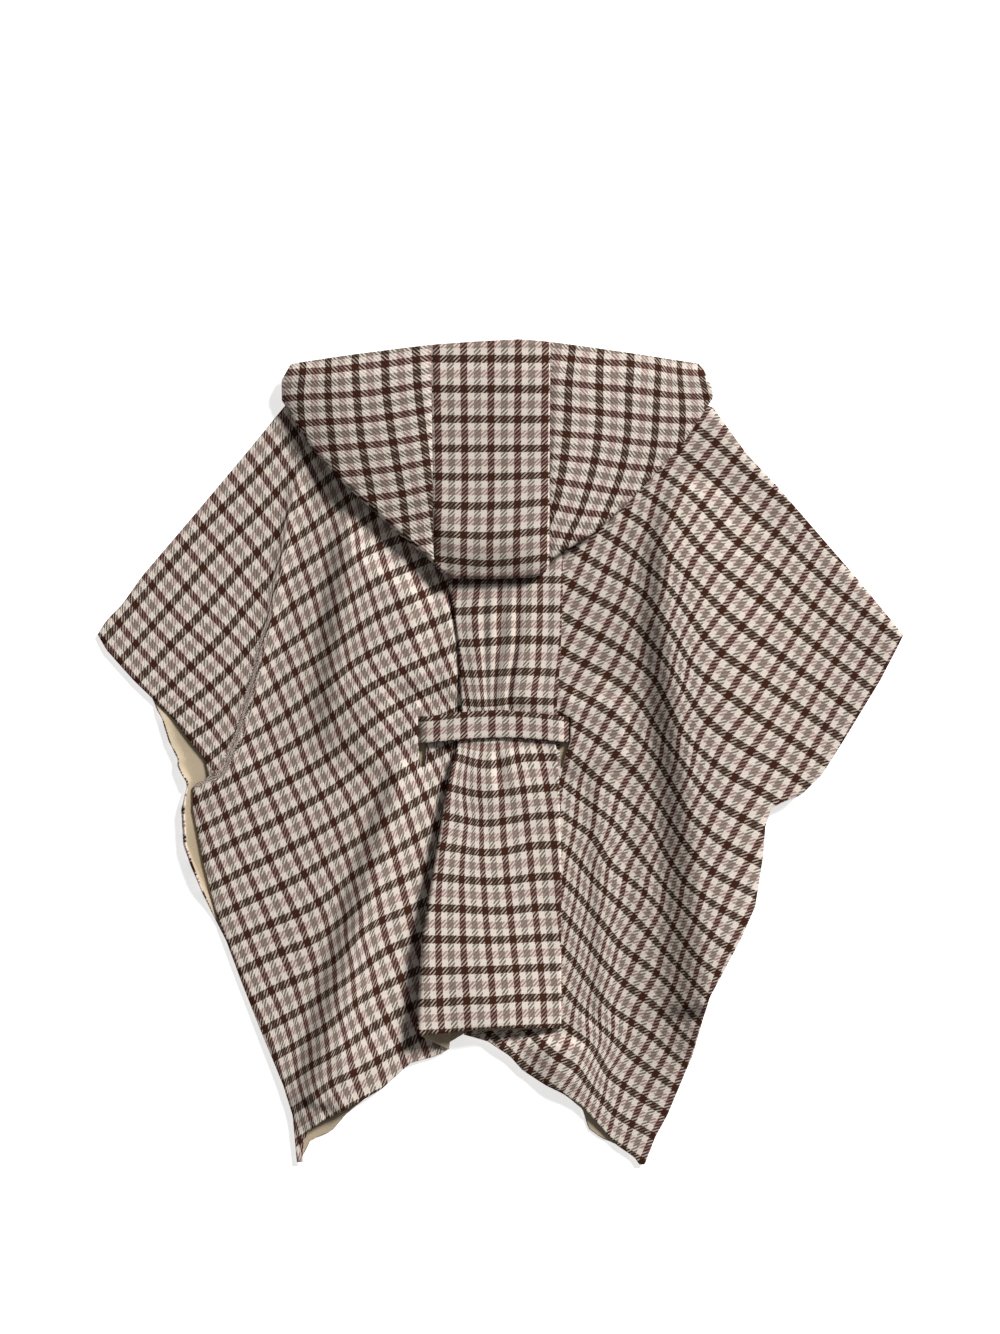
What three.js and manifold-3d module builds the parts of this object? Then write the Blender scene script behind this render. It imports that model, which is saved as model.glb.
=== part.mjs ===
// A hooded wool poncho laid flat, front down, seen from its back. Millimetres, +Z up.
// X runs across the garment, +Y towards the hood, and Z = 0 is the surface it lies on.
import * as THREE from 'three';
import { mergeVertices } from 'three/addons/utils/BufferGeometryUtils.js';
import Module from 'manifold-3d';

const wasm = await Module();
wasm.setup();

// Driving dimensions
const cloth = 2.5; // wall of double-faced wool
const seamGap = 0.3; // between neighbouring pieces
const rowStep = 27; // longest step of a side back's grid along Y
const frontStep = 60; // and of the front's, which is flat
const shoulderRoll = 9; // strip in which the back turns down over the shoulder

// Heights of the middle of each layer above the surface
const frontLevel = cloth / 2;
const sideLevel = 1.5 * cloth + 0.5;
const tabLevel = sideLevel + cloth + seamGap;
const pleatLevel = tabLevel + cloth + 0.5;
const hoodUnderLevel = pleatLevel + cloth + 0.4;

// Neck opening
const neckHalfWidth = 139;
const backNeckY = 455;
const frontNeckY = 400;
const neckPointY = 484;
const topRowY = 480; // the side backs' first row, just below the neck points

// Outer edge of each side back, from the shoulder by the sleeve opening to the hem's point
const leftEdge = [
  { y: 480, x: -151 }, { y: 434, x: -269 }, { y: 373, x: -319 }, { y: 298, x: -382 },
  { y: 223, x: -446 }, { y: 185, x: -473 }, { y: 166, x: -492 }, { y: 148, x: -503 },
  { y: 129, x: -492 }, { y: 91, x: -458 }, { y: 44, x: -409 }, { y: 15, x: -388 },
  { y: -8, x: -369 }, { y: -28, x: -364 }, { y: -35, x: -371 }, { y: -41, x: -384 },
  { y: -71, x: -384 }, { y: -138, x: -371 }, { y: -203, x: -354 }, { y: -284, x: -324 },
  { y: -340, x: -302 }, { y: -415, x: -271 }, { y: -453, x: -259 }, { y: -511, x: -254 },
];
const rightEdge = [
  { y: 480, x: 151 }, { y: 431, x: 266 }, { y: 373, x: 308 }, { y: 335, x: 344 },
  { y: 223, x: 441 }, { y: 166, x: 488 }, { y: 147, x: 503 }, { y: 129, x: 494 },
  { y: 91, x: 474 }, { y: 16, x: 428 }, { y: -26, x: 401 }, { y: -52, x: 374 },
  { y: -61, x: 349 }, { y: -69, x: 336 }, { y: -91, x: 329 }, { y: -129, x: 326 },
  { y: -190, x: 316 }, { y: -228, x: 299 }, { y: -303, x: 259 }, { y: -378, x: 239 },
  { y: -453, x: 208 }, { y: -480, x: 193 }, { y: -514, x: 180 },
];

// Inner edge of each side back: down the pleat's under-fold, then out along the hem
const leftInner = [
  { y: 457, x: -50 }, { y: 66, x: -40 }, { y: 15, x: -38 }, { y: -130, x: -50 },
  { y: -371, x: -67 }, { y: -378, x: -79 }, { y: -387, x: -113 }, { y: -401, x: -129 },
  { y: -419, x: -149 }, { y: -444, x: -194 }, { y: -460, x: -224 }, { y: -471, x: -240 },
  { y: -486, x: -247 }, { y: -511, x: -248 },
];
const rightInner = [
  { y: 457, x: 40 }, { y: 15, x: 0 }, { y: -200, x: -25 }, { y: -352, x: -45 },
  { y: -359, x: -17 }, { y: -378, x: 12 }, { y: -396, x: 28 }, { y: -414, x: 56 },
  { y: -424, x: 77 }, { y: -439, x: 101 }, { y: -467, x: 126 }, { y: -490, x: 146 },
  { y: -505, x: 168 }, { y: -514, x: 174 },
];

// Box pleat at the centre back: its two fold edges, and how far each is opened at the turn
const pleatEdges = [
  { y: 457, left: -61, right: 77, leftTurn: 1.5 }, { y: 210, left: -66, right: 78, leftTurn: 1.5 },
  { y: 141, left: -53, right: 76, leftTurn: 1.5 }, { y: 66, left: -49, right: 71, leftTurn: 1.5 },
  { y: 33, left: -49, right: 69, leftTurn: 1.5 }, { y: 10, left: -55, right: 69, leftTurn: 1.5 },
  { y: -43, left: -67, right: 73, leftTurn: 2 }, { y: -130, left: -80, right: 76, leftTurn: 2.8 },
  { y: -223, left: -96, right: 76, leftTurn: 3.6 }, { y: -346, left: -103, right: 76, leftTurn: 4.2 },
];
const pleatHem = { left: -350, middle: -341, right: -343, leftTab: -370, rightTab: -347 };

// Lines of the side backs' grid where the belt goes in
const leftSlitLines = [
  { y: 457, outer: -118, inner: -98 }, { y: 60, outer: -104, inner: -92 },
  { y: -20, outer: -104, inner: -92 }, { y: -360, outer: -150, inner: -132 },
];
const rightSlitLines = [
  { y: 457, outer: 104 }, { y: 60, outer: 88 }, { y: -20, outer: 88 }, { y: -350, outer: 100 },
];
const leftSlit = { left: -104, right: -92, top: 46, taperFrom: 12, foot: -18, footLeft: -101, footRight: -94 };
const rightSlit = { left: 71, right: 88, top: 46, taperFrom: 14, foot: -19, footLeft: 74, footRight: 77 };

// Folds of the side backs: crest line, height, and the reach of its slope towards -X and +X
const folds = [
  {
    name: 'left sleeve ridge', height: 15, minus: 48, plus: 26,
    crest: [[-246, 372], [-267, 299], [-283, 215], [-298, 140], [-313, 71], [-332, 14], [-360, -30]],
  },
  {
    name: 'left waist ridge', height: 11, minus: 30, plus: 42,
    crest: [[-119, 40], [-139, -29], [-156, -89], [-183, -180], [-212, -300], [-230, -420]],
  },
  {
    name: 'left upper swell', height: 5, minus: 40, plus: 40,
    crest: [[-160, 270], [-172, 180], [-188, 60], [-215, -60], [-260, -200], [-275, -330]],
  },
  {
    name: 'right sleeve ridge', height: 14, minus: 24, plus: 46,
    crest: [[184, 350], [196, 263], [199, 200], [204, 120], [212, 20], [228, -88], [240, -190], [250, -290]],
  },
  {
    name: 'right waist ridge', height: 9, minus: 24, plus: 34,
    crest: [[120, 20], [121, -88], [125, -208], [127, -308], [122, -388], [136, -450]],
  },
  {
    name: 'right sleeve swell', height: 6, minus: 34, plus: 34,
    crest: [[285, 300], [305, 200], [318, 100], [330, 0], [338, -60]],
  },
];
const foldFade = 70; // length over which a crest rises at its ends

// Front panel where it reaches past the back: out at the left below the sleeve, and at the hem
const frontInset = 4;
const halfOverlap = 1; // each half of the front is made this far past the centre line, then joined
const frontLeftReach = [
  { y: 76, out: -frontInset }, { y: 53, out: 10 }, { y: 15, out: 26 }, { y: -16, out: 35 },
  { y: -39, out: 12 }, { y: -71, out: 14 }, { y: -115, out: 20 }, { y: -176, out: 10 },
  { y: -208, out: 4 }, { y: -271, out: -frontInset },
];
const frontLeftHem = [
  { y: -341, x: -30 }, { y: -371, x: -80 }, { y: -384, x: -113 }, { y: -419, x: -154 },
  { y: -451, x: -193 }, { y: -473, x: -212 }, { y: -484, x: -238 }, { y: -506, x: -249 },
];
const frontRightHem = [
  { y: -341, x: 0 }, { y: -378, x: 20 }, { y: -414, x: 64 }, { y: -445, x: 103 },
  { y: -470, x: 111 }, { y: -481, x: 126 }, { y: -494, x: 156 }, { y: -508, x: 172 },
];

// Hood, laid back on the garment: opening edge, crown fold and thickness along X
const hoodTop = [
  { x: -272, y: 466 }, { x: -261, y: 485 }, { x: -178, y: 496 }, { x: -87, y: 507 },
  { x: -32, y: 511 }, { x: 23, y: 514 }, { x: 60, y: 511 }, { x: 152, y: 499 },
  { x: 250, y: 485 }, { x: 264, y: 455 },
];
const hoodSideFold = [
  { x: -272, y: 444 }, { x: -233, y: 383 }, { x: -197, y: 342 }, { x: -123, y: 273 },
  { x: -84, y: 238 }, { x: 62, y: 240 }, { x: 119, y: 276 }, { x: 156, y: 309 },
  { x: 225, y: 383 }, { x: 264, y: 442 },
];
const hoodCenterFold = [
  { x: -84, y: 236 }, { x: -77, y: 226 }, { x: -61, y: 218 }, { x: -13, y: 217 },
  { x: 42, y: 219 }, { x: 56, y: 225 }, { x: 61, y: 236 },
];
const hoodBody = [
  { x: -272, under: 7.2, turn: 2.6, crown: 15 }, { x: -200, under: 7.2, turn: 4, crown: 22 },
  { x: -130, under: 7.4, turn: 6, crown: 27 }, { x: -92, under: hoodUnderLevel, turn: 5, crown: 29 },
  { x: -11, under: hoodUnderLevel, turn: 5, crown: 30 }, { x: 100, under: hoodUnderLevel, turn: 5, crown: 29 },
  { x: 136, under: 7.4, turn: 6, crown: 27 }, { x: 200, under: 7.2, turn: 4, crown: 22 },
  { x: 264, under: 7.2, turn: 2.6, crown: 15 },
];
const hoodSeams = {
  left: [{ y: 243, x: -83 }, { y: 508, x: -86 }],
  right: [{ y: 239, x: 60 }, { y: 510, x: 62 }],
};
const hoodRim = 4; // fall of the top layer at its opening edge

// Half belt across the pleat, its ends through the slits
const beltCloth = 3;
const beltEdges = [
  { x: -150, low: 9, high: 39 }, { x: -104, low: 13, high: 43 }, { x: -56, low: 16, high: 50 },
  { x: 0, low: 20, high: 53 }, { x: 49, low: 17, high: 49 }, { x: 88, low: 14, high: 43 },
  { x: 134, low: 10, high: 39 },
];
const beltRoute = [
  { x: -148, z: 4.4 }, { x: -122, z: 4.4 }, { x: -106.5, z: 4.4 }, { x: -90, z: 10.6 },
  { x: -72, z: 12.6 }, { x: -56, z: 13.4 }, { x: -30, z: 13.6 }, { x: 0, z: 13.6 }, { x: 30, z: 13.6 },
  { x: 58, z: 13.6 }, { x: 70, z: 13.2 }, { x: 88.5, z: 4.5 }, { x: 104, z: 4.4 }, { x: 132, z: 4.4 },
];
const tailRise = 4.3; // how far the side backs stand up over the belt's ends
const slitRise = 1.8; // and between the left slit and the pleat

// Linear value of one column of a table against another, held at the ends
function along(table, key, value, at) {
  const up = table[0][key] < table[table.length - 1][key];
  const rows = up ? table : [...table].reverse();
  if (at <= rows[0][key]) return rows[0][value];
  for (let i = 1; i < rows.length; i++) {
    if (at > rows[i][key]) continue;
    const part = (at - rows[i - 1][key]) / (rows[i][key] - rows[i - 1][key]);
    return rows[i - 1][value] + part * (rows[i][value] - rows[i - 1][value]);
  }
  return rows[rows.length - 1][value];
}

const mix = THREE.MathUtils.lerp;

// 0 below the first value, 1 above the second, smooth between
function ease(from, to, at) {
  const t = THREE.MathUtils.clamp((at - from) / (to - from), 0, 1);
  return t * t * (3 - 2 * t);
}

// Stations from one value to another that pass through given stops
function stations(stops, step) {
  const list = [stops[0]];
  for (let i = 1; i < stops.length; i++) {
    const count = Math.max(1, Math.ceil(Math.abs(stops[i] - stops[i - 1]) / step));
    for (let k = 1; k <= count; k++) list.push(mix(stops[i - 1], stops[i], k / count));
  }
  return list;
}

// Closed wall of even thickness about a grid of points on its middle surface
function wall(grid, thickness) {
  const rows = grid.length;
  const columns = grid[0].length;
  const positions = [];
  const across = new THREE.Vector3();
  const down = new THREE.Vector3();
  for (const side of [0.5, -0.5]) {
    for (let r = 0; r < rows; r++) {
      for (let c = 0; c < columns; c++) {
        across.subVectors(grid[r][Math.min(c + 1, columns - 1)], grid[r][Math.max(c - 1, 0)]);
        down.subVectors(grid[Math.min(r + 1, rows - 1)][c], grid[Math.max(r - 1, 0)][c]);
        const normal = across.clone().cross(down).normalize();
        const point = grid[r][c].clone().addScaledVector(normal, side * thickness);
        positions.push(point.x, point.y, point.z);
      }
    }
  }
  const faces = [];
  const at = (side, r, c) => side * rows * columns + r * columns + c;
  const quad = (a, b, c, d) => faces.push(a, b, c, a, c, d);
  for (let r = 0; r + 1 < rows; r++) {
    for (let c = 0; c + 1 < columns; c++) {
      quad(at(0, r, c), at(0, r, c + 1), at(0, r + 1, c + 1), at(0, r + 1, c));
      quad(at(1, r, c), at(1, r + 1, c), at(1, r + 1, c + 1), at(1, r, c + 1));
    }
  }
  for (let c = 0; c + 1 < columns; c++) {
    quad(at(0, 0, c), at(1, 0, c), at(1, 0, c + 1), at(0, 0, c + 1));
    quad(at(0, rows - 1, c), at(0, rows - 1, c + 1), at(1, rows - 1, c + 1), at(1, rows - 1, c));
  }
  for (let r = 0; r + 1 < rows; r++) {
    quad(at(0, r, 0), at(0, r + 1, 0), at(1, r + 1, 0), at(1, r, 0));
    quad(at(0, r, columns - 1), at(1, r, columns - 1), at(1, r + 1, columns - 1), at(0, r + 1, columns - 1));
  }
  return facingOut(positions, faces);
}

// Geometry of a closed mesh, turned over if its faces look inwards
function facingOut(positions, faces) {
  const corner = (i) => new THREE.Vector3().fromArray(positions, 3 * i);
  let volume = 0;
  for (let i = 0; i < faces.length; i += 3) {
    volume += corner(faces[i]).dot(corner(faces[i + 1]).cross(corner(faces[i + 2])));
  }
  if (volume < 0) faces.reverse();
  const geometry = new THREE.BufferGeometry();
  geometry.setAttribute('position', new THREE.Float32BufferAttribute(positions, 3));
  geometry.setIndex(faces);
  return geometry;
}

function toSolid(geometry) {
  const plain = geometry.clone();
  plain.deleteAttribute('normal');
  plain.deleteAttribute('uv');
  const merged = mergeVertices(plain, 1e-4);
  return new wasm.Manifold(new wasm.Mesh({
    numProp: 3,
    vertProperties: new Float32Array(merged.attributes.position.array),
    triVerts: new Uint32Array(merged.index.array),
  }));
}

function toGeometry(solid) {
  const mesh = solid.getMesh();
  const geometry = new THREE.BufferGeometry();
  geometry.setAttribute('position', new THREE.BufferAttribute(new Float32Array(mesh.vertProperties), 3));
  geometry.setIndex(new THREE.BufferAttribute(new Uint32Array(mesh.triVerts), 1));
  return geometry;
}

const pleatAt = (y) => ({
  left: along(pleatEdges, 'y', 'left', y),
  right: along(pleatEdges, 'y', 'right', y),
  leftTurn: along(pleatEdges, 'y', 'leftTurn', y),
});

// Half width of a neckline that starts at a given Y on the centre line
function necklineAt(centerY, y) {
  return neckHalfWidth * Math.sqrt(THREE.MathUtils.clamp((y - centerY) / (neckPointY - centerY), 0, 1));
}

// Height of one fold at a point
function foldAt(fold, x, y) {
  let best = { distance: Infinity };
  let run = 0;
  for (let i = 1; i < fold.crest.length; i++) {
    const [x0, y0] = fold.crest[i - 1];
    const [x1, y1] = fold.crest[i];
    const length = Math.hypot(x1 - x0, y1 - y0);
    const t = THREE.MathUtils.clamp(((x - x0) * (x1 - x0) + (y - y0) * (y1 - y0)) / length ** 2, 0, 1);
    const away = [x - mix(x0, x1, t), y - mix(y0, y1, t)];
    const distance = Math.hypot(...away);
    if (distance < best.distance) best = { distance, side: away[0], run: run + t * length };
    run += length;
  }
  const reach = best.side < 0 ? fold.minus : fold.plus;
  const rise = ease(0, foldFade, best.run) * mix(0.7, 1, ease(0, foldFade, run - best.run));
  return fold.height * rise * Math.exp(-((best.distance / reach) ** 2));
}

// How far a side back stands above its level: its folds, and the belt's ends beneath it
function sideRise(x, y) {
  const pleat = pleatAt(y);
  const outside = Math.max(pleat.left - x, x - pleat.right);
  const hoodFold = along(hoodSideFold, 'x', 'y', x);
  const clear = ease(2, 45, outside) * ease(10, 58, hoodFold - y);
  let rise = 0;
  for (const fold of folds) rise = Math.max(rise, foldAt(fold, x, y));
  const overBelt = ease(-35, -8, y) * (1 - ease(56, 84, y));
  const leftTail = ease(-192, -168, x) * (1 - ease(-104, -103, x)) * tailRise;
  const leftLip = ease(-104, -103, x) * (1 - ease(-92, -64, x)) * slitRise;
  const rightTail = ease(72, 87, x) * (1 - ease(150, 172, x)) * tailRise;
  return Math.max(rise * clear, overBelt * (leftTail + leftLip + rightTail));
}

// A side back: rows along X from its outer edge to the pleat's under-fold
function sideBack(edge, inner, lines, divisions, stops, slit) {
  const sign = Math.sign(edge[0].x);
  const hemStart = stops[stops.length - 2];
  const grid = stations(stops, rowStep).map((y) => {
    const outerX = along(edge, 'y', 'x', y);
    const neckX = y > backNeckY ? sign * necklineAt(backNeckY, y) : 0;
    const plainInner = along(inner, 'y', 'x', y);
    const innerX = sign * Math.max(sign * plainInner, sign * neckX);
    const rollX = outerX - sign * Math.min(shoulderRoll, 0.3 * Math.abs(outerX - innerX));
    const lineY = THREE.MathUtils.clamp(y, hemStart, backNeckY);
    const base = { outer: along(edge, 'y', 'x', lineY), inner: along(inner, 'y', 'x', lineY) };
    const marks = lines(lineY).map((x) => mix(rollX, innerX, (x - base.outer) / (base.inner - base.outer)));
    if (y <= backNeckY && y >= hemStart) lines(y).forEach((x, i) => { marks[i] = x; });
    const rails = [rollX, ...marks, innerX];
    const xs = [outerX, rollX];
    for (let i = 1; i < rails.length; i++) {
      for (let k = 1; k <= divisions[i - 1]; k++) xs.push(mix(rails[i - 1], rails[i], k / divisions[i - 1]));
    }
    const onShoulder = ease(125, 175, y);
    return xs.map((x, column) => {
      const level = sideLevel + sideRise(x, y);
      const edgeLevel = mix(level, seamGap + cloth / 2, onShoulder);
      return new THREE.Vector3(x, y, column === 0 ? edgeLevel : level);
    });
  });
  return toGeometry(toSolid(wall(grid, cloth)).subtract(toSolid(slitCutter(slit))));
}

// A prism that cuts one belt slit
function slitCutter(slit) {
  const shape = new THREE.Shape();
  shape.moveTo(slit.left, slit.top);
  shape.lineTo(slit.right, slit.top);
  shape.lineTo(slit.right, slit.taperFrom);
  shape.lineTo(slit.footRight, slit.foot);
  shape.lineTo(slit.footLeft, slit.foot);
  shape.lineTo(slit.left, slit.taperFrom);
  shape.closePath();
  return new THREE.ExtrudeGeometry(shape, { depth: 10 * cloth, bevelEnabled: false });
}

function backLeft() {
  const lines = (y) => [
    along(leftSlitLines, 'y', 'outer', y),
    along(leftSlitLines, 'y', 'inner', y),
    pleatAt(y).left - 3,
  ];
  return sideBack(leftEdge, leftInner, lines, [12, 1, 1, 1], [topRowY, 434, 148, -35, -71, -371, -511], leftSlit);
}

function backRight() {
  const lines = (y) => [along(rightSlitLines, 'y', 'outer', y), pleatAt(y).right + 2];
  return sideBack(rightEdge, rightInner, lines, [13, 1, 2], [topRowY, 431, 147, -61, -91, -352, -514], rightSlit);
}

// Half circle that turns a layer over, as offsets from its centre
function turnPoints(radius, steps, turn) {
  const points = [];
  for (let k = 1; k < steps; k++) {
    const angle = Math.PI * (k / steps - 0.5);
    points.push({ out: turn * radius * Math.cos(angle), up: radius * Math.sin(angle) });
  }
  return points;
}

// The pleat: under-tab, fold, visible panel, fold and under-tab, as one cloth
function backCenter() {
  const turnSteps = 4;
  const panelSteps = 7;
  const pleatRows = 27;
  const rows = stations([1, 0], 1 / pleatRows);
  const grid = rows.map((v) => {
    const middleY = mix(pleatHem.middle, backNeckY, v);
    const pleat = pleatAt(middleY);
    const rightTurn = (pleatLevel - tabLevel) / 2;
    const under = { left: along(leftInner, 'y', 'x', middleY), right: along(rightInner, 'y', 'x', middleY) };
    const bottom = { left: pleatHem.leftTab, right: pleatHem.rightTab };
    const leftTop = tabLevel + 2 * pleat.leftTurn;
    const section = [];
    const add = (x, z, hem) => {
      const top = backNeckY + (neckPointY - backNeckY) * (x / neckHalfWidth) ** 2;
      section.push(new THREE.Vector3(x, mix(hem, top, v), z));
    };
    const leftX = pleat.left + pleat.leftTurn + cloth / 2;
    const rightX = pleat.right - rightTurn - cloth / 2;
    add(under.left, tabLevel, bottom.left);
    add((under.left + leftX) / 2, tabLevel, mix(bottom.left, pleatHem.left, 0.4));
    add(leftX, tabLevel, pleatHem.left - 2);
    for (const p of turnPoints(pleat.leftTurn, turnSteps, -1)) {
      add(leftX + p.out, tabLevel + pleat.leftTurn + p.up, pleatHem.left);
    }
    for (let k = 0; k <= panelSteps; k++) {
      const t = k / panelSteps;
      const hem = t < 0.5 ? mix(pleatHem.left, pleatHem.middle, 2 * t) : mix(pleatHem.middle, pleatHem.right, 2 * t - 1);
      add(mix(leftX, rightX, t), mix(leftTop, pleatLevel, ease(0, 0.5, t)), hem);
    }
    for (const p of turnPoints(rightTurn, turnSteps, 1).reverse()) {
      add(rightX + p.out, tabLevel + rightTurn + p.up, pleatHem.right);
    }
    add(rightX, tabLevel, pleatHem.right);
    add((under.right + rightX) / 2, tabLevel, mix(bottom.right, pleatHem.right, 0.5));
    add(under.right, tabLevel, bottom.right);
    return section;
  });
  return wall(grid, cloth);
}

// One half of the front, flat on the surface, from its outer edge to the centre line
function frontHalf(edge, hem, reach, stops) {
  const sign = Math.sign(edge[0].x);
  const grid = stations(stops, frontStep).map((y) => {
    const tuck = ease(105, 125, y) * (shoulderRoll - frontInset + 2) + ease(415, 440, y) * shoulderRoll;
    const out = reach ? along(reach, 'y', 'out', y) : -frontInset;
    const outerX = along(edge, 'y', 'x', y) + sign * (out - tuck);
    const neckX = necklineAt(frontNeckY, y);
    let innerX = -sign * halfOverlap;
    if (neckX > halfOverlap) innerX = sign * neckX;
    if (y < hem[0].y) innerX = along(hem, 'y', 'x', y);
    return [0, 1 / 3, 2 / 3, 1].map((t) => new THREE.Vector3(mix(outerX, innerX, t), y, frontLevel));
  });
  return toSolid(wall(grid, cloth));
}

function front() {
  const left = frontHalf(leftEdge, frontLeftHem, frontLeftReach, [472, 440, 150, 76, -39, -71, -341, -506]);
  const right = frontHalf(rightEdge, frontRightHem, null, [472, 440, 150, -61, -91, -341, -508]);
  return toGeometry(left.add(right));
}

// A hood panel between two lines, as a cloth folded over at the crown
function hoodPanel(startX, endX, divisions, foldTable) {
  const underSteps = 7;
  const turnSteps = 5;
  const topSteps = 9;
  const columns = [];
  for (let i = 0; i <= divisions; i++) {
    const part = i / divisions;
    const column = [];
    const add = (y, z) => column.push(new THREE.Vector3(mix(startX(y), endX(y), part), y, z));
    const x = mix(startX(400), endX(400), part);
    const under = along(hoodBody, 'x', 'under', x);
    const turn = along(hoodBody, 'x', 'turn', x);
    const crown = along(hoodBody, 'x', 'crown', x);
    const topY = along(hoodTop, 'x', 'y', x);
    const turnY = along(foldTable, 'x', 'y', x) + turn + cloth / 2;
    const neck = backNeckY + (neckPointY - backNeckY) * Math.min(1, x / neckHalfWidth) ** 2;
    const beyond = ease(neckHalfWidth, 200, Math.abs(x));
    const seamY = mix(Math.abs(x) > neckHalfWidth ? neckPointY : neck, topY - 6, beyond);
    for (let k = 0; k <= underSteps; k++) add(mix(seamY, turnY, k / underSteps), under);
    for (const p of turnPoints(turn, turnSteps, -1)) add(turnY + p.out, under + turn + p.up);
    for (let k = 0; k <= topSteps; k++) {
      const t = k / topSteps;
      const swell = mix(under + 2 * turn, crown, Math.sin(Math.PI * Math.min(1, 1.6 * t) / 2));
      add(mix(turnY, topY, t), swell - hoodRim * ease(0.8, 1, t));
    }
    columns.push(column);
  }
  return wall(columns, cloth);
}

const seamLine = (side, shift) => (y) => along(hoodSeams[side], 'y', 'x', y) + shift;
const fixedLine = (x) => () => x;

function belt() {
  const fractions = [0, 1 / 3, 2 / 3, 1];
  const grid = beltRoute.map(({ x, z }) => fractions.map((t) => {
    const y = mix(along(beltEdges, 'x', 'low', x), along(beltEdges, 'x', 'high', x), t);
    return new THREE.Vector3(x, y, z);
  }));
  return wall(grid, beltCloth);
}

const checkedWool = new THREE.MeshStandardMaterial({ color: 0xa0938a, roughness: 0.92, metalness: 0 });
const darkCheckedWool = new THREE.MeshStandardMaterial({ color: 0x8f8078, roughness: 0.92, metalness: 0 });
const beigeWool = new THREE.MeshStandardMaterial({ color: 0xc3b496, roughness: 0.94, metalness: 0 });

const poncho = new THREE.Group();

function addPiece(name, geometry, material) {
  const mesh = new THREE.Mesh(geometry, material);
  mesh.name = name;
  poncho.add(mesh);
}

addPiece('front', front(), beigeWool);
addPiece('back_left', backLeft(), checkedWool);
addPiece('back_right', backRight(), checkedWool);
addPiece('back_center', backCenter(), checkedWool);
const halfGap = 0.8 * seamGap;
addPiece('hood_left', hoodPanel(fixedLine(-272), seamLine('left', -halfGap), 9, hoodSideFold), checkedWool);
addPiece('hood_center', hoodPanel(seamLine('left', halfGap), seamLine('right', -halfGap), 8, hoodCenterFold), checkedWool);
addPiece('hood_right', hoodPanel(seamLine('right', halfGap), fixedLine(264), 9, hoodSideFold), checkedWool);
addPiece('half_belt', belt(), darkCheckedWool);

export default poncho;
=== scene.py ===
# A hooded wool poncho laid flat, front down, seen from its back.
# The tables are in millimetres, as in the part's source; meshes are made in metres.
import math

import bpy
import numpy as np
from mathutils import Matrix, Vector


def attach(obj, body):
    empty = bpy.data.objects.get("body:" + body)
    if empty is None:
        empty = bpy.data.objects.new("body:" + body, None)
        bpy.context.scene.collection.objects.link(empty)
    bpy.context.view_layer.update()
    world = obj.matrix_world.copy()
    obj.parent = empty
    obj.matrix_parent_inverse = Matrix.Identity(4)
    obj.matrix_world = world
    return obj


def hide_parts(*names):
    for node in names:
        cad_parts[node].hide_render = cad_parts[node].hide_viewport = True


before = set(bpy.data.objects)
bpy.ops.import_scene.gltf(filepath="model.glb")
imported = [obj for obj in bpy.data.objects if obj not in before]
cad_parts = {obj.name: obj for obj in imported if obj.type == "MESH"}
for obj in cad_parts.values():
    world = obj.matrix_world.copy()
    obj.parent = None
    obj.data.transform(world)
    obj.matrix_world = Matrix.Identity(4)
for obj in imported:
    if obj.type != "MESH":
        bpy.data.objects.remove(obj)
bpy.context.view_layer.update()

MM = 0.001
PIXEL = 1.25  # millimetres of the garment in one pixel of the photograph
CENTER_PX = (500.5, 753.0)  # pixel over the origin


def add_object(name, data):
    made = bpy.data.objects.new(name, data)
    bpy.context.collection.objects.link(made)
    return made


# Camera straight above the garment
LENS = 85.0
SENSOR = 36.0
VIEW_HEIGHT = 1667.5  # millimetres that the frame's long side covers
VIEW_CENTER = (-0.6, 107.5)
VIEW_LEVEL = 8.0  # height above the floor at which the scale holds

camera_data = bpy.data.cameras.new("camera")
camera_data.lens = LENS
camera_data.sensor_width = SENSOR
camera = add_object("camera", camera_data)
camera.location = (
    VIEW_CENTER[0] * MM,
    VIEW_CENTER[1] * MM,
    (VIEW_LEVEL + VIEW_HEIGHT / SENSOR * LENS) * MM,
)
bpy.context.scene.camera = camera

# Cloth
CLOTH = 2.5
BELT_CLOTH = 3.0
SEAM_GAP = 0.3
LAYER_GAP = 0.5
HOOD_GAP = 0.4
GRID = 4.0  # longest step between the rows of a fine grid

# Heights of the middle of the layers
FRONT_LEVEL = CLOTH / 2
SIDE_LEVEL = 1.5 * CLOTH + LAYER_GAP
TAB_LEVEL = SIDE_LEVEL + CLOTH + SEAM_GAP
PLEAT_LEVEL = TAB_LEVEL + CLOTH + LAYER_GAP
HOOD_UNDER_LEVEL = PLEAT_LEVEL + CLOTH + HOOD_GAP

# Shoulder edges: width of the roll, and the y where it starts and is full
SHOULDER_ROLL = 17.0
SHOULDER_Y = (125, 175)
ROLL_MOST = 0.3  # share of the sheet's width that the roll takes at most
ROLL_MIDDLE = 0.72  # share of the height that is left at the middle of the roll
LEFT_DROP = 1.0  # share of the way down to the floor that the edge goes
RIGHT_DROP = 0.35

NECK_HALF_WIDTH = 139.0
BACK_NECK_Y = 455.0
FRONT_NECK_Y = 400.0
NECK_POINT_Y = 484.0

# Rows at which the outlines turn, from the top down
LEFT_STOPS = [480, 434, 148, 46, -18, -35, -71, -371, -511]
RIGHT_STOPS = [480, 431, 147, 46, -19, -61, -91, -352, -514]
FRONT_STOPS = [472, 440, 150, 76, -39, -71, -341, -506]

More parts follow.
